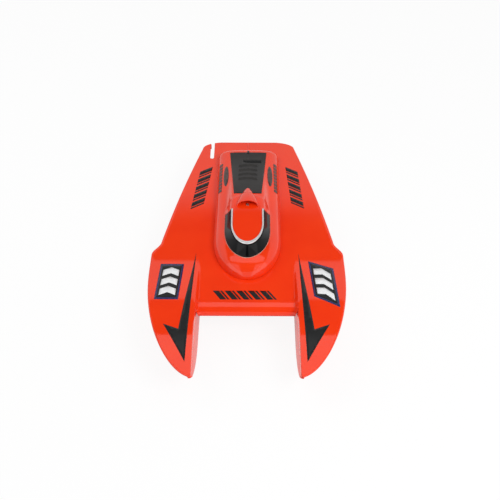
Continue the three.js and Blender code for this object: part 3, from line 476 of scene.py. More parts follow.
def loft(rings, capped=True):
    count = len(rings[0])
    faces = []
    for r in range(len(rings) - 1):
        for c in range(count):
            a, b = r * count + c, r * count + (c + 1) % count
            faces.append((a, b, b + count, a + count))
    last = (len(rings) - 1) * count
    if capped:
        faces += [tuple(reversed(range(count))), tuple(range(last, last + count))]
    return [point for ring in rings for point in ring], faces


coaming_height = 4
coaming_round = 0.8
coaming_insets = (9, 11)
coaming_top = deck_height + coaming_height
wall_profile = [(0, deck_height - 1), (0, coaming_top - coaming_round),
                (coaming_round * 0.3, coaming_top - coaming_round * 0.3), (coaming_round, coaming_top)]
wall_section = [(coaming_insets[0] + inward, z) for inward, z in wall_profile]
wall_section += [(coaming_insets[1] - outward, z) for outward, z in reversed(wall_profile)]
wall_rings = [[(x, aft, z) for x, aft in hatch_outline(inset)] for inset, z in wall_section]
make_piece("hatch_coaming", *loft(wall_rings + wall_rings[:1], capped=False), lacquer, "hull",
           slot="hull_orange")
rib_height = 1.3
rib_half = 1.6
rib_end = 3
rib_from = cowl_tail + 4
rib_to = hull_length - rib_end
rib_rows = []
for aft in steps(rib_from, rib_to, 14):
    rise = rib_height * round_rise(clamp(min(aft - rib_from, rib_to - aft) / rib_end))
    rib_rows.append([(rib_half * cos_of(a), aft, deck_height - 0.2 + rise * sin_of(a))
                     for a in range(180, -1, -20)])
make_piece("afterdeck_rib", *sheet(rib_rows), lacquer, "hull", slot="hull_orange", closed=False)

# ---------------- hull tub and sponsons
# The tub and the two hollow sponsons are glass-fibre mouldings too, bonded under the deck's rim.
# The same lacquer covers them.
sharp_edge = 32

def softened(node, finish, edge, body="hull"):
    """The node's own shape with its planes cleaned and its edges rounded."""
    mesh = bpy.data.objects[node].data.copy()
    work = bmesh.new()
    work.from_mesh(mesh)
    bmesh.ops.remove_doubles(work, verts=work.verts, dist=0.002 * mm)
    bmesh.ops.dissolve_limit(work, angle_limit=math.radians(0.6), verts=work.verts, edges=work.edges)
    work.to_mesh(mesh)
    work.free()
    piece = dress(node + "_finished", mesh, finish, body, [node], sharp_edge)
    bevel = piece.modifiers.new("edges", "BEVEL")
    bevel.width = edge * mm
    bevel.segments = 2
    bevel.limit_method = "ANGLE"
    bevel.angle_limit = math.radians(sharp_edge)
    bevel.harden_normals = True

def rounded(corners, radius, count=4):
    """A closed outline with round corners."""
    made = []
    for i, corner in enumerate(corners):
        here = Vector(corner)
        before = Vector(corners[i - 1]) - here
        after = Vector(corners[(i + 1) % len(corners)]) - here
        reach = min(radius, 0.45 * before.length, 0.45 * after.length)
        start = here + before.normalized() * reach
        end = here + after.normalized() * reach
        for t in steps(0, 1, count):
            made.append(tuple(start * (1 - t) ** 2 + here * 2 * t * (1 - t) + end * t * t))
    return made


sponson_end = 270
tip_depth = 4
keel_share = 0.62
chine_depth = 0.55
sponson_round = 2.2

def sponson_ring(aft, side, shrink=0):
    lip_height = lip_depth(aft) + running_gap
    edge = side_at(aft, lip_height)
    inside = tunnel_half - 1 + tip_inset(aft)
    keel = (deck_height - tip_depth) * max(0, 1 - aft / sponson_run) ** 1.8
    lip = deck_top(edge, aft) - lip_height
    depth = lip - keel
    chine = side_at(aft, lip_height + depth * chine_depth)
    width = edge - inside
    under_deck = deck_top(tunnel_half, aft) - 2 * skin - 1
    corners = [
        (inside, under_deck), (inside - min(2, 0.2 * width), keel),
        (inside + (chine - inside) * keel_share, keel),
        (chine - width * 0.04, keel + depth * 0.45), (edge, lip), (edge - 3, lip + 1.5),
    ]
    section = rounded(corners, sponson_round)
    middle = Vector((sum(x for x, _ in section), sum(z for _, z in section))) / len(section)
    if shrink:
        section = [tuple(Vector(p) + (middle - Vector(p)).normalized() * shrink) for p in section]
    return [(side * x, aft, z) for x, z in section]


# The tunnel walls and bottoms are left as sprayed, without the polish: the same orange, softer.
sprayed = new_material("orange_lacquer_unpolished", {"IOR": 1.5, "Specular IOR Level": 0.3},
                       (60, ("ee350a", "f43a0e")), (1.6, None, (0.24, 0.38), 0.012))
sponson_rows = [0.9, 1.6, 2.6, 4, 6, 8.5, 12, 16, 21, 26] + steps(32, sponson_end - 2, 34)
for name, side in [("starboard", -1), ("port", 1)]:
    rings = [sponson_ring(aft, side) for aft in sponson_rows]
    rings += [sponson_ring(sponson_end - 0.6, side, 0.4), sponson_ring(sponson_end, side, 1.6)]
    make_piece(f"sponson_moulding_{name}", *loft(rings), sprayed, "hull", [f"sponson_{name}"],
               "hull_orange", 30)
softened("hull_tub", sprayed, 0.9)

# Closed-cell polyethylene foam fills the sponsons: a soft, broken white with small open pores.
foam = new_material("polyethylene_foam", {}, (1.6, ("dedacf", "f1efe7"), (0.8, 0.95), 0.3))
for name in ("starboard", "port"):
    softened(f"flotation_{name}", foam, 1.5)

# A strip of EPDM sponge seals the hatch: matte black with a fine pitted skin.
sponge = new_material("epdm_sponge_rubber", {"IOR": 1.5}, (0.9, ("161617", "222223"), (0.75, 0.95), 0.12))
softened("hatch_seal", sponge, 0.5)

# ---------------- cowl
# A thin polyester moulding with the canopy drawn in it, sprayed with the hull. It drops over the
# coaming and one captive screw holds it down.
cowl_base = deck_height + running_gap
cowl_skin = 1.6
cowl_body_height = 24
cowl_nose_round = 34
cowl_tail_round = 16
cowl_sag = 0.12
cowl_shoulder = 4.5
canopy_height = 14
canopy_fades = (140, 305)
# Half width, reach of the round front and aft end, at the windscreen's foot and at its roof edge.
screen_foot = (37.5, 66, 131)
screen_roof = (27, 51, 129)
canopy_rear = (125, 47, 42)
canopy_step = 1.3
screen_centre = 93

def cowl_height(x, aft, half):
    nose_rise = round_rise(clamp((aft - cowl_nose) / cowl_nose_round))
    tail_fall = round_rise(clamp((cowl_tail - aft) / cowl_tail_round))
    sag = 1 - cowl_sag * smooth(aft, cowl_nose + 200, cowl_tail - 10)
    across = (1 - min(1, abs(x) / max(half, 0.01)) ** cowl_shoulder) ** (1 / 2.2)
    body = cowl_body_height * nose_rise * (0.25 + 0.75 * tail_fall) * sag * across
    ahead = max(0, cowl_nose + screen_centre - aft)
    foot = math.hypot(x / screen_foot[0], ahead / screen_foot[1])
    roof = math.hypot(x / screen_roof[0], ahead / screen_roof[1])
    behind = max(0, aft - cowl_nose - canopy_rear[0])
    arc = math.hypot(x / canopy_rear[2], behind / canopy_rear[1])
    body += canopy_step * smooth(1 - arc, 0, 0.045) * smooth(aft - cowl_nose, 40, 128)
    fade = 1 - smooth(aft - cowl_nose, *canopy_fades)
    if foot >= 1:
        return body
    climb = 1 if roof <= 1 else (1 - foot) / (roof - foot)
    return body + canopy_height * climb * fade

def cowl_surface(x, aft):
    return cowl_base + cowl_height(x, aft, cowl_half_width(clamp(aft, cowl_nose, cowl_tail)))


shares = [1 - (1 - t) ** 2.2 for t in steps(0, 1, 30)]
across_cowl = [-share for share in reversed(shares)] + shares[1:]
cowl_nose_rows = [cowl_nose + cowl_nose_length * (1 - cos_of(a)) for a in steps(0, 90, 30)]
cowl_tail_rows = [cowl_tail - cowl_tail_round * (1 - sin_of(a)) for a in steps(0, 90, 12)]
cowl_rows = []
for aft in cowl_nose_rows + steps(286, cowl_tail - 18, 74) + cowl_tail_rows:
    half = cowl_half_width(aft)
    row = [(share * half, aft, cowl_base + cowl_height(share * half, aft, half)) for share in across_cowl]
    cowl_rows.append(row)
cowl_rows.append([(x, aft, cowl_base) for x, aft, _ in cowl_rows[-1]])

def make_shell(name, rows, wall, finish, stands_for=(), slot=None, sharp=38):
    """A thin part of the cowl through rows of points, with its wall behind them."""
    piece = make_piece(name, *sheet(rows), finish, "cowl", stands_for, slot, sharp, closed=False)
    thicken(piece, wall)


make_shell("cowl_moulding", cowl_rows, cowl_skin, lacquer, ["cowl"], "cowl_orange", 50)

# ---------------- windscreen
# Gloss black film over the canopy's raked band, with a bright chrome foil on its roof edge and a
# thin tan coach line round its foot.
def screen_rows(outer, inner, lift, count):
    """Rows across a U-shaped band. Each edge is (half width, reach of the round front, aft end)."""
    def edge_points(edge):
        half, reach, end = edge
        side = [(half, cowl_nose + a) for a in steps(end, screen_centre, 12)]
        front = [(half * cos_of(a), cowl_nose + screen_centre - reach * sin_of(a))
                 for a in steps(0, 180, 34)[1:-1]]
        return side + front + [(-x, aft) for x, aft in reversed(side)]
    rows = []
    for share in steps(0, 1, count):
        row = []
        for (x0, a0), (x1, a1) in zip(edge_points(outer), edge_points(inner)):
            x, aft = x0 + (x1 - x0) * share, a0 + (a1 - a0) * share
            row.append((x, aft, cowl_surface(x, aft) + lift))
        rows.append(row)
    return rows


# Cast vinyl film: deep black, a mirror-like surface that follows every dent of what is under it.
black_film = new_material("gloss_black_vinyl", {"IOR": 1.5, "Specular IOR Level": 0.18},
                          (25, ("060708", "0c0d0f")), (3, None, (0.05, 0.1), 0.003))
make_shell("windscreen_film", screen_rows(screen_foot, screen_roof, 0.9, 10), 0.8, black_film, ["windscreen"],
           "screen_black")

# Vacuum-metallised foil: a bright, slightly grainy silver.
foil = new_material("chrome_foil", {"Metallic": 0.55}, (1.5, ("e6e7e8", "f8f8f8"), (0.15, 0.28), 0.01))
trim_inner = (screen_roof[0] - 2.2, screen_roof[1] - 7, screen_roof[2])
make_shell("roof_edge_trim", screen_rows(screen_roof, trim_inner, 1.2, 4), 0.9, foil, ["windscreen_trim"],
           "silver_trim")

# Vinyl pinstripe in a dull tan, 0.7 mm wide.
stripe_film = new_material("pale_vinyl_stripe", {"IOR": 1.5}, (4, ("c9a892", "dcbfae"), (0.25, 0.4), 0.004))
stripe_outer = (screen_foot[0] + 0.7, screen_foot[1] + 1, screen_foot[2])
make_shell("coach_line", screen_rows(stripe_outer, screen_foot, 0.35, 2), 0.3, stripe_film, slot="silver_trim")

# ---------------- vent panel
# A satin black ABS insert, vacuum-formed with four hooded louvres and a slot that lets warm air
# out. It is bonded on the cowl's back.
panel_front = 370
panel_rear = 510
panel_half = (24, 34)
panel_thick = 1.1
panel_round = 1.2
louvre_from = 45
louvre_pitch = 15.6
louvre_half = 18
louvre_length = 6
louvre_bow = 62
louvre_rise = 2.1
# The slot's sides, front and rear, and how its front edge drops back at one end.
slot_box = (-10, 25, 474, 484)
slot_sweep = (3, 14)

def slot_front(x):
    return slot_box[2] + slot_sweep[0] * clamp(1 - (x - slot_box[0]) / slot_sweep[1])

def panel_lift(x, aft, half):
    to_edge = min(half - abs(x), aft - panel_front, panel_rear - aft)
    lift = panel_thick * round_rise(clamp(to_edge / panel_round))
    for i in range(4):
        middle = panel_front + louvre_from + i * louvre_pitch - x * x / louvre_bow
        along = (aft - middle) / louvre_length
        ends = 1 - smooth(abs(x), louvre_half - 3, louvre_half)
        if 0 <= along <= 1:
            lift += louvre_rise * along ** 1.6 * ends
        elif 1 < along < 1.3:
            lift -= 0.7 * ends
    depth = min(x - slot_box[0], slot_box[1] - x, aft - slot_front(x), slot_box[3] - aft)
    lift -= 0.9 * smooth(depth, -0.3, 0.6)
    if abs(x) < 0.7 and aft > slot_box[3] + 4:
        lift -= 0.35
    return lift


panel_rows = []
for aft in steps(panel_front, panel_rear, 150):
    half = panel_half[0] + (panel_half[1] - panel_half[0]) * (aft - panel_front) / (panel_rear - panel_front)
    columns = [half * share for share in steps(-1, 1, 64)]
    columns[1], columns[-2] = -half + 0.4, half - 0.4
    panel_rows.append([(x, aft, cowl_surface(x, aft) + panel_lift(x, aft, half) + 0.05) for x in columns])
# Acrylonitrile butadiene styrene, vacuum-formed: satin black with a fine haircell grain.
satin_abs = new_material("satin_black_abs", {"IOR": 1.53, "Specular IOR Level": 0.36},
                         (12, ("171413", "211d1b")), (0.9, None, (0.34, 0.5), 0.03))
make_shell("vent_insert", panel_rows, 0.6, satin_abs, ["vent_panel"], "panel_black", 28)
# A near-black sheet laid in the slot's shallow dent: painted shade that stands for the dark gap of the slot.
slot_shade_finish = new_material("painted_slot_shade", {}, (0.8, ("030303", "0a0a0a"), (0.85, 1), 0.1))
slot_rows = []
for share in steps(0, 1, 5):
    slot_rows.append([])
    for x in steps(slot_box[0] + 1, slot_box[1] - 1, 16):
        front = slot_front(x) + 0.8
        aft = front + (slot_box[3] - 0.8 - front) * share
        slot_rows[-1].append((x, aft, cowl_surface(x, aft) + 0.45))
make_shell("slot_painted_shade", slot_rows, 0.12, slot_shade_finish, slot="panel_black")
# A small rounded tab hangs over the panel's rear edge.
tab_rings = [[(x * (1 - 0.25 * t), panel_rear - 3 + 8 * t, cowl_surface(0, panel_rear - 3 + 8 * t) + z - 1.2 * t)
              for x, z in rounded([(-2.6, -0.6), (2.6, -0.6), (2.2, 2.2), (-2.2, 2.2)], 0.9)]
             for t in steps(0, 1, 6)]
make_piece("rear_tab", *loft(tab_rings), satin_abs, "cowl", slot="panel_black")

# ---------------- headrest scoop
# The streamlined headrest behind the canopy, moulded and sprayed with the cowl. Its open mouth
# gives the driver access to the cowl screw.
scoop_face = cowl_nose + 136
scoop_length = 60
scoop_half = 18.5
scoop_height = 9.5
scoop_rows = []
for t in [u ** 1.2 for u in steps(0, 1, 36)]:
    half = scoop_half * (1 - t ** 1.35) ** 0.9
    height = scoop_height * (1 - t ** 1.5) + 0.05
    row = []
    for a in steps(180, 0, 36):
        x = half * cos_of(a)
        lean = 5 * sin_of(a) * (1 - t)
        aft = scoop_face + lean + (scoop_length - lean) * t
        row.append((x, aft, cowl_surface(x, aft) - 0.3 + height * sin_of(a) ** 0.85))
    scoop_rows.append(row)
make_shell("headrest", scoop_rows, 1.3, lacquer, ["headrest_scoop"], "cowl_orange", 50)

# Zinc-plated steel: a bright grey head round a dark recess.
zinc = new_material("zinc_plated_steel", {"Metallic": 1}, (2, ("9a9da2", "c3c6c9"), (0.22, 0.4), 0.01))

def turned(name, profile, centre, axis, finish, body, slot, stands_for=(), sides=32):
    """A turned part: profile is (radius, along) from one end to the other, in millimetres."""
    direction = Vector(axis).normalized()
    side = direction.orthogonal().normalized()
    other = direction.cross(side)
    rings = []
    for radius, along in profile:
        middle = Vector(centre) + direction * along
        rings.append([tuple(middle + (side * math.cos(t) + other * math.sin(t)) * radius)
                      for t in [2 * math.pi * i / sides for i in range(sides)]])
    make_piece(name, *loft(rings), finish, body, stands_for, slot, 35)

def screw(name, centre, axis, radius, height, body="hull"):
    """A socket screw's head: a rounded rim, then the well for the key."""
    profile = [(radius, 0), (radius, height - 0.3), (radius - 0.3, height), (radius * 0.52, height),
               (radius * 0.48, height - 0.15), (radius * 0.46, height * 0.4)]
    turned(name, profile, centre, axis, zinc, body, "steel", sides=24)


screw_low, screw_high = (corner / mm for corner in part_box("cowl_screw"))
screw_x = (screw_low.x + screw_high.x) / 2
screw_aft = (screw_low.y + screw_high.y) / 2 - bow_at
foot, head = screw_low.z, screw_high.z
turned("cowl_screw_bolt",
       [(1.2, foot), (1.5, foot + 0.4), (1.5, head - 3), (2.55, head - 3), (2.75, head - 2.7),
        (2.75, head - 0.3), (2.45, head), (1.45, head), (1.35, head - 0.2), (1.3, head - 2)],
       (screw_x, screw_aft, 0), (0, 0, 1), zinc, "cowl_screw", "steel", ["cowl_screw"])

# ---------------- graphics
# Cut vinyl laid on the lacquer: a barbed arrow and a framed plate of chevrons on each sponson deck,
# and bars of slanted strokes. They carry no letters or figures.
film_thick = 0.07

def film(name, outline, surface, lift, finish, body, pitch, slot="screen_black"):
    """A thin film with this outline of (x, aft) points, laid on a surface."""
    edge = []
    for i, start in enumerate(outline):
        end = outline[(i + 1) % len(outline)]
        pieces = max(1, round(math.dist(start, end) / pitch))
        edge += [(start[0] + (end[0] - start[0]) * k / pieces, start[1] + (end[1] - start[1]) * k / pieces)
                 for k in range(pieces)]
    low = [min(p[axis] for p in edge) for axis in (0, 1)]
    high = [max(p[axis] for p in edge) for axis in (0, 1)]

    def inside(x, aft):
        crossings = 0
        for (x0, a0), (x1, a1) in zip(edge, edge[1:] + edge[:1]):
            if (a0 > aft) != (a1 > aft) and x < x0 + (x1 - x0) * (aft - a0) / (a1 - a0):
                crossings += 1
        return crossings % 2 == 1

    points = list(edge)
    for i in range(1, int((high[0] - low[0]) / pitch) + 1):
        for j in range(1, int((high[1] - low[1]) / pitch) + 1):
            x, aft = low[0] + (i - 0.37) * pitch, low[1] + (j - 0.41) * pitch
            near = min(math.dist((x, aft), p) for p in edge)
            if inside(x, aft) and near > 0.4 * pitch:
                points.append((x, aft))
    count = len(edge)
    found = delaunay_2d_cdt([Vector(p) for p in points], [(i, (i + 1) % count) for i in range(count)],
                            [list(range(count))], 1, 1e-5)
    flat = [tuple(p) for p in found[0]]
    faces = [tuple(f) for f in found[2]]
    piece = make_piece(name, [(x, aft, surface(x, aft) + lift) for x, aft in flat], faces, finish, body,
                       slot=slot, closed=False)
    if piece.data.polygons[0].normal.z < 0:
        piece.data.flip_normals()
    thicken(piece, film_thick)

def on_quad(quad, u, v):
    """A place in a four-cornered patch: u across its first edge, v down to its last."""
    (ax, ay), (bx, by), (cx, cy), (dx, dy) = quad
    return (
        (ax * (1 - u) + bx * u) * (1 - v) + (dx * (1 - u) + cx * u) * v,
        (ay * (1 - u) + by * u) * (1 - v) + (dy * (1 - u) + cy * u) * v,
    )

def patch(quad, u0, u1, v0, v1):
    return [on_quad(quad, u, v) for u, v in [(u0, v0), (u1, v0), (u1, v1), (u0, v1)]]


# Matte-laminated vinyl in three colours: slightly softer than the screen's film, with no grain to see.
black_vinyl = new_material("black_vinyl", {"IOR": 1.5, "Specular IOR Level": 0.3},
                           (9, ("0e0f10", "161718"), (0.24, 0.36), 0.004))
navy_vinyl = new_material("navy_vinyl", {"IOR": 1.5}, (9, ("101a4c", "18245e"), (0.2, 0.32), 0.004))
white_vinyl = new_material("white_vinyl", {"IOR": 1.5}, (9, ("dfe0e2", "ecedee"), (0.25, 0.38), 0.004))

for name, side in [("starboard", -1), ("port", 1)]:
    arrow = [(84.7, 258), (86.5, 150), (89, 24), (125.5, 93), (102, 83)]
    film(f"arrow_{name}", [(side * x, aft) for x, aft in arrow], deck_top, 0.2, black_vinyl, "hull", 5)

plates = {
    "starboard": [(-103, 231), (-141, 231), (-144, 144), (-106.5, 144)],
    "port": [(100, 239), (140, 221), (144, 128), (105, 152)],
}
for name, quad in plates.items():
    film(f"plate_frame_{name}", patch(quad, 0, 1, 0, 1), deck_top, 0.12, navy_vinyl, "hull", 6)
    film(f"plate_field_{name}", patch(quad, 0.08, 0.92, 0.05, 0.95), deck_top, 0.2, black_vinyl, "hull", 6)
    for i in range(3):
        top = 0.1 + i * 0.27
        chevron = [on_quad(quad, u, v) for u, v in [
            (0.16, top + 0.08), (0.5, top), (0.84, top + 0.08), (0.84, top + 0.25), (0.5, top + 0.17),
            (0.16, top + 0.25)]]
        film(f"plate_chevron_{name}_{i}", chevron, deck_top, 0.28, white_vinyl, "hull", 6, "silver_trim")


# Each bar is five pairs of slanted strokes, one broad and one narrow.
stroke_pairs = 5
stroke_lean = 0.12
stroke_step = (1 - stroke_lean) / stroke_pairs
for bar, quad in [
    ("bow_bar", [(-54, 171), (-54, 152), (51, 152), (51, 171)]),
    ("stern_bar_starboard", [(-66.5, 494), (-87.5, 494), (-101.5, 366), (-80.5, 366)]),
    ("stern_bar_port", [(69.5, 494), (90.5, 494), (99.5, 369), (78.5, 369)]),
]:
    for i in range(stroke_pairs):
        for j, ends in enumerate([(0, 0.52), (0.62, 0.8)]):
            start, end = [(i + share) * stroke_step for share in ends]
            stroke = [on_quad(quad, u, v) for u, v in [
                (0, start), (1, start + stroke_lean), (1, end + stroke_lean), (0, end)]]
            film(f"{bar}_stroke_{i}_{j}", stroke, deck_top, 0.25, black_vinyl, "hull", 4)

# Printed smoke-grey film on the cowl's shoulders.
smoke_vinyl = new_material("smoke_grey_vinyl", {"IOR": 1.5}, (5, ("231d1c", "5a4038"), (0.24, 0.36), 0.004))
for name, side in [("starboard", -1), ("port", 1)]:
    strip = [(side * 46.5, 480), (side * 52.5, 480), (side * 52.5, 394), (side * 46.5, 394)]
    for i in range(9):
        square = patch(strip, 0, 1, i / 9, (i + 0.8) / 9)
        film(f"cowl_strip_{name}_{i}", square, cowl_surface, 0.4, smoke_vinyl, "cowl", 1.6)
    lens = [(side * (39.5 + 4.6 * sin_of(a)), 438 + 30 * cos_of(a)) for a in steps(0, 360, 28)[:-1]]
    film(f"cowl_lens_{name}", lens, cowl_surface, 0.3, smoke_vinyl, "cowl", 3)

# ---------------- battery, radio and motor
# A lithium pack strapped in a nylon tray, a speed controller, a receiver, a switch and a brushless
# motor in a water jacket. The motor's coupler turns a flexible cable in a brass tube.

# Glass-filled nylon 6: satin black, with a faint fibre grain.
nylon = new_material("glass_filled_nylon", {"IOR": 1.53}, (1.1, ("1b1c1e", "27282b"), (0.48, 0.66), 0.05))
# The same nylon undyed, as servo horns are: waxy white.
white_nylon = new_material("white_nylon", {"IOR": 1.53, "Subsurface Weight": 0.1},
                           (1.1, ("d9d8d2", "e8e7e2"), (0.4, 0.55), 0.03))
# PVC shrink film: blue and half gloss, with soft wrinkles where it was drawn round the corners.
shrink = new_material("blue_pvc_shrink_film", {"IOR": 1.5},
                      (14, ("1c3763", "274a7e"), (0.28, 0.42), 0.25, (1, 0.35, 1)))
# Coated paper label: pale grey, smooth and dull.
paper_label = new_material("printed_label", {"IOR": 1.5}, (6, ("c9ccd0", "dcdee0"), (0.45, 0.6), 0.01))
# Woven polyester hook-and-loop strap: black, ribbed every 0.8 mm.
webbing = new_material("woven_polyester_strap", {"Sheen Weight": 0.3},
                       (0.8, ("101012", "202023"), (0.8, 0.95), 0.2, (1, 0.25, 1)))
# Silicone rubber sleeve on the leads: soft, dull black.
silicone = new_material("silicone_sleeve", {"IOR": 1.41}, (3, ("141416", "1f1f21"), (0.42, 0.6), 0.02))
# Turned and milled 6061 aluminium: pale grey with fine cutter marks.
aluminium = new_material("milled_aluminium", {"Metallic": 1},
                         (1.4, ("aeb1b6", "c9cccf"), (0.24, 0.4), 0.012, (1, 0.2, 1)))
# The same metal under anodised films: clear blue on the jacket, satin black on the motor.
blue_anodised = new_material("blue_anodised_aluminium", {"Metallic": 1},
                             (1.4, ("2a57a2", "376bbd"), (0.24, 0.38), 0.01, (1, 0.2, 1)))
black_anodised = new_material("black_anodised_aluminium", {"Metallic": 0.9},
                              (1.6, ("17181a", "232427"), (0.28, 0.42), 0.01))
# Ground steel rod: bright, with a fine grain along it.
ground_steel = new_material("ground_steel", {"Metallic": 1},
                            (1.2, ("9a9ea3", "b8bbbf"), (0.16, 0.3), 0.008, (1, 0.15, 1)))
# Drawn brass: warm yellow, in soft brighter and duller patches.
brass = new_material("drawn_brass", {"Metallic": 1}, (4, ("b8933f", "d2b160"), (0.2, 0.38), 0.01))
# Silicone tube: pale blue and half gloss.
blue_tube = new_material("blue_silicone_tube", {"IOR": 1.41}, (6, ("7fb0d4", "a3cbe4"), (0.25, 0.38), 0.01))

# Each finish with its slot, its body and the nodes it covers, with how far their edges are rounded.
for finish, slot, body, edges in [
    (aluminium, "machined_aluminium", "hull", {
        "cowl_bridge": 0.5, "motor_mount": 0.5, "drive_strut": 0.6, "rudder_bracket": 0.5,
        "turn_fin_bracket": 0.5, "turn_fin": 0.3}),
    (nylon, "nylon_black", "hull", {
        "battery_tray": 0.6, "battery_plug": 0.8, "speed_controller": 1.2, "receiver": 1.2,
        "switch_case": 0.5, "motor_cradle": 0.5, "servo": 0.6}),
    (shrink, "battery_wrap", "hull", {"battery_pack": 3.2}),
    (webbing, "strap_webbing", "hull", {"battery_strap_front": 0.25, "battery_strap_rear": 0.25}),
    (nylon, "nylon_black", "switch_slider", {"switch_slider": 0.4}),
    (silicone, "lead_insulation", "hull", {
        "battery_lead": 0.1, "controller_lead": 0.1, "motor_lead_1": 0.1, "motor_lead_2": 0.1,
        "motor_lead_3": 0.1}),
    (black_anodised, "motor_black", "hull", {"motor": 0.8}),
    (blue_anodised, "machined_aluminium", "hull", {"cooling_jacket": 0.4}),
    (ground_steel, "steel", "motor_rotor", {"motor_shaft": 0.3}),
    (aluminium, "machined_aluminium", "motor_rotor", {"coupler": 0.5}),
    (brass, "brass", "hull", {"stuffing_tube": 0.15, "water_inlet": 0.2, "water_outlet": 0.2}),
    (ground_steel, "steel", "hull", {"flex_shaft": 0.1}),
    (blue_tube, "hose_silicone", "hull", {"hose_in": 0.1, "hose_out": 0.1}),
    (sponge, "rubber_black", "hull", {"drain_plug": 0.6, "rod_seal": 0.3}),
    (ground_steel, "steel", "propeller", {"prop_shaft": 0.3}),
    (brass, "brass", "propeller", {"drive_dog": 0.3}),
    (zinc, "steel", "propeller", {"prop_nut": 0.3}),
    (aluminium, "machined_aluminium", "rudder", {"rudder": 0.35}),
    (white_nylon, "nylon_black", "servo_horn", {"servo_horn": 0.4}),
    (ground_steel, "steel", "steering_rod", {"steering_rod": 0.15}),
]:
    for node, edge in edges.items():
        softened(node, finish, edge, body)

def low_high(node):
    """A node's corners in millimetres, with its second number measured aft from the bow tips."""
    shift = Vector((0, bow_at, 0))
    return [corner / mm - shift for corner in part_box(node)]

def block(name, low, high, radius, finish, slot):
    """A block with round corners all the way round, standing between two corners."""
    rings = []
    for z, inset in [(low[2], radius * 0.7), (low[2] + radius * 0.3, radius * 0.2), (low[2] + radius, 0),
                     (high[2] - radius, 0), (high[2] - radius * 0.3, radius * 0.2), (high[2], radius * 0.7)]:
        corners = [(low[0] + inset, low[1] + inset), (high[0] - inset, low[1] + inset),
                   (high[0] - inset, high[1] - inset), (low[0] + inset, high[1] - inset)]
        rings.append([(x, aft, z) for x, aft in rounded(corners, radius)])
    make_piece(name, *loft(rings), finish, "hull", slot=slot)


pack_low, pack_high = low_high("battery_pack")
pack_middle = (pack_low + pack_high) / 2
block("battery_label", (pack_low.x + 4, pack_middle.y - 14, pack_high.z - 0.1),
      (pack_high.x - 4, pack_middle.y + 14, pack_high.z + 0.25), 0.15, paper_label, "silver_trim")
esc_low, esc_high = low_high("speed_controller")
for i in range(7):
    x = esc_low.x + 4 + i * (esc_high.x - esc_low.x - 8) / 6
    block(f"heat_sink_fin_{i}", (x - 0.6, esc_low.y + 4, esc_high.z - 0.5),
          (x + 0.6, esc_high.y - 4, esc_high.z + 3.5), 0.4, blue_anodised, "machined_aluminium")
receiver_low, receiver_high = low_high("receiver")
block("receiver_label", (receiver_low.x + 3, receiver_low.y + 10, receiver_high.z - 0.1),
      (receiver_high.x - 3, receiver_high.y - 4, receiver_high.z + 0.2), 0.15, paper_label, "silver_trim")
for i in range(5):
    aft = receiver_low.y + 3.5
    x = receiver_low.x + 4 + i * 3.6
    block(f"receiver_pin_row_{i}", (x - 1.2, aft - 1.6, receiver_high.z - 0.2),
          (x + 1.2, aft + 1.6, receiver_high.z + 1.2), 0.3, ground_steel, "steel")

# The motor's end bell: a stepped black ring on the face that meets the mount.
motor_low, motor_high = low_high("motor")
motor_middle = (motor_low + motor_high) / 2
turned("motor_end_bell",
       [(6, 0), (12.4, 0), (13.2, -0.8), (13.2, -3), (9.5, -3.4), (9, -4.6), (4, -4.8), (3.6, -3.6)],
       (motor_middle.x, motor_low.y + 0.6, motor_middle.z), (0, 1, 0), black_anodised, "hull", "motor_black")
mount_low, mount_high = low_high("motor_mount")
bolt_circle = 9.5
for i, a in enumerate((45, 135, 225, 315)):
    place = (motor_middle.x + bolt_circle * cos_of(a), mount_low.y + 3,
             motor_middle.z + bolt_circle * sin_of(a))
    screw(f"motor_screw_{i}", place, (0, 1, 0), 1.8, 1.6)
for i, x in enumerate((mount_low.x + 5, mount_high.x - 5)):
    screw(f"mount_foot_screw_{i}", (x, mount_high.y - 5, mount_low.z + 3), (0, 0, 1), 2.2, 1.8)
coupler_low, coupler_high = low_high("coupler")
for i, share_along in enumerate((0.25, 0.75)):
    place = (0, coupler_low.y + (coupler_high.y - coupler_low.y) * share_along, coupler_high.z - 0.4)
    screw(f"coupler_screw_{i}", place, (0, 0, 1), 1.2, 0.8, "motor_rotor")

# ---------------- propeller
# A two-blade propeller, cast in bronze and balanced by hand. The dog between it and the strut
# drives it.
prop_low, prop_high = low_high("propeller")
prop_centre = (prop_low + prop_high) / 2
prop_radius = (prop_high.z - prop_low.z) / 2
hub_radius = 4.1
prop_pitch = 30
blade_root = 0.75
blade_thinning = 0.03
blade_camber = 0.35
blade_stations = [3.2, 4.2, 5.5, 7, 9, 11, 13, 14.8, 16.1, prop_radius - 0.1]
blade_chords = [7.5, 8.4, 9.6, 10.6, 11.4, 11.2, 10, 7.9, 5.2, 2.2]
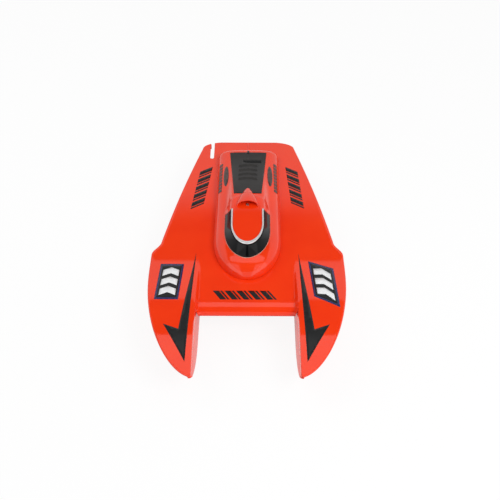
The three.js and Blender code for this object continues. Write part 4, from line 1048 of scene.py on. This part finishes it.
# Cast bronze, filed and polished: brighter than the brass on its high spots.
bronze = new_material("cast_bronze", {"Metallic": 1}, (3, ("b98f45", "d6b56c"), (0.16, 0.32), 0.015))
for blade in (0, 1):
    turn = math.pi * blade
    rings = []
    for radius, chord in zip(blade_stations, blade_chords):
        twist = math.atan(prop_pitch / (2 * math.pi * radius))
        ring = []
        for a in steps(0, 360, 20)[:-1]:
            along = chord / 2 * cos_of(a)
            thick = (blade_root - blade_thinning * radius) * sin_of(a)
            thick += blade_camber * (1 - (2 * along / chord) ** 2)
            sideways = along * math.cos(twist) - thick * math.sin(twist)
            aft = along * math.sin(twist) + thick * math.cos(twist)
            x = sideways * math.cos(turn) - radius * math.sin(turn)
            z = sideways * math.sin(turn) + radius * math.cos(turn)
            ring.append((prop_centre.x + x, prop_centre.y + aft, prop_centre.z + z))
        rings.append(ring)
    stands_for = ["propeller"] if blade == 0 else ()
    make_piece(f"blade_{blade + 1}", *loft(rings), bronze, "propeller", stands_for, "brass")
turned("propeller_hub", [(2.5, -4.8), (hub_radius - 0.4, -4.8), (hub_radius, -4.2), (hub_radius, 3.4),
       (hub_radius - 0.5, 4.6), (2.5, 4.8)], tuple(prop_centre), (0, 1, 0), bronze, "propeller", slot="brass")

# ---------------- transom hardware and servo
# Zinc-plated socket screws hold the strut, the rudder bracket, the fin and the servo. The rudder
# turns on a longer one.
transom = hull_length - 5
rudder_axis = (-38, transom + 17)
for name, node in [("strut", "drive_strut"), ("rudder_bracket", "rudder_bracket")]:
    low, high = low_high(node)
    for i, x in enumerate((low.x + 3.2, high.x - 3.2)):
        for j in (0, 1):
            screw(f"{name}_screw_{i}_{j}", (x, transom + 3.2, high.z - 3.2 - j * 8), (0, 1, 0), 1.6, 1.4)
bracket_top = low_high("rudder_bracket")[1].z
screw("rudder_pivot_screw", (*rudder_axis, bracket_top - 0.4), (0, 0, 1), 2.2, 1.4, "rudder")
servo_low, servo_high = low_high("servo")
for i, aft in enumerate((servo_low.y + 2.4, servo_high.y - 2.4)):
    screw(f"servo_screw_{i}", ((servo_low.x + servo_high.x) / 2, aft, servo_high.z - 0.3), (0, 0, 1), 1.3, 1)
block("servo_label", (servo_low.x + 4, servo_low.y + 6, servo_high.z - 0.1),
      (servo_high.x - 4, servo_high.y - 6, servo_high.z + 0.2), 0.15, paper_label, "silver_trim")
fin_low, fin_high = low_high("turn_fin_bracket")
for i, z in enumerate((fin_low.z + 5, fin_high.z - 5)):
    screw(f"turn_fin_screw_{i}", (fin_low.x + 4, fin_low.y + 3, z), (0, 1, 0), 1.5, 1.2)
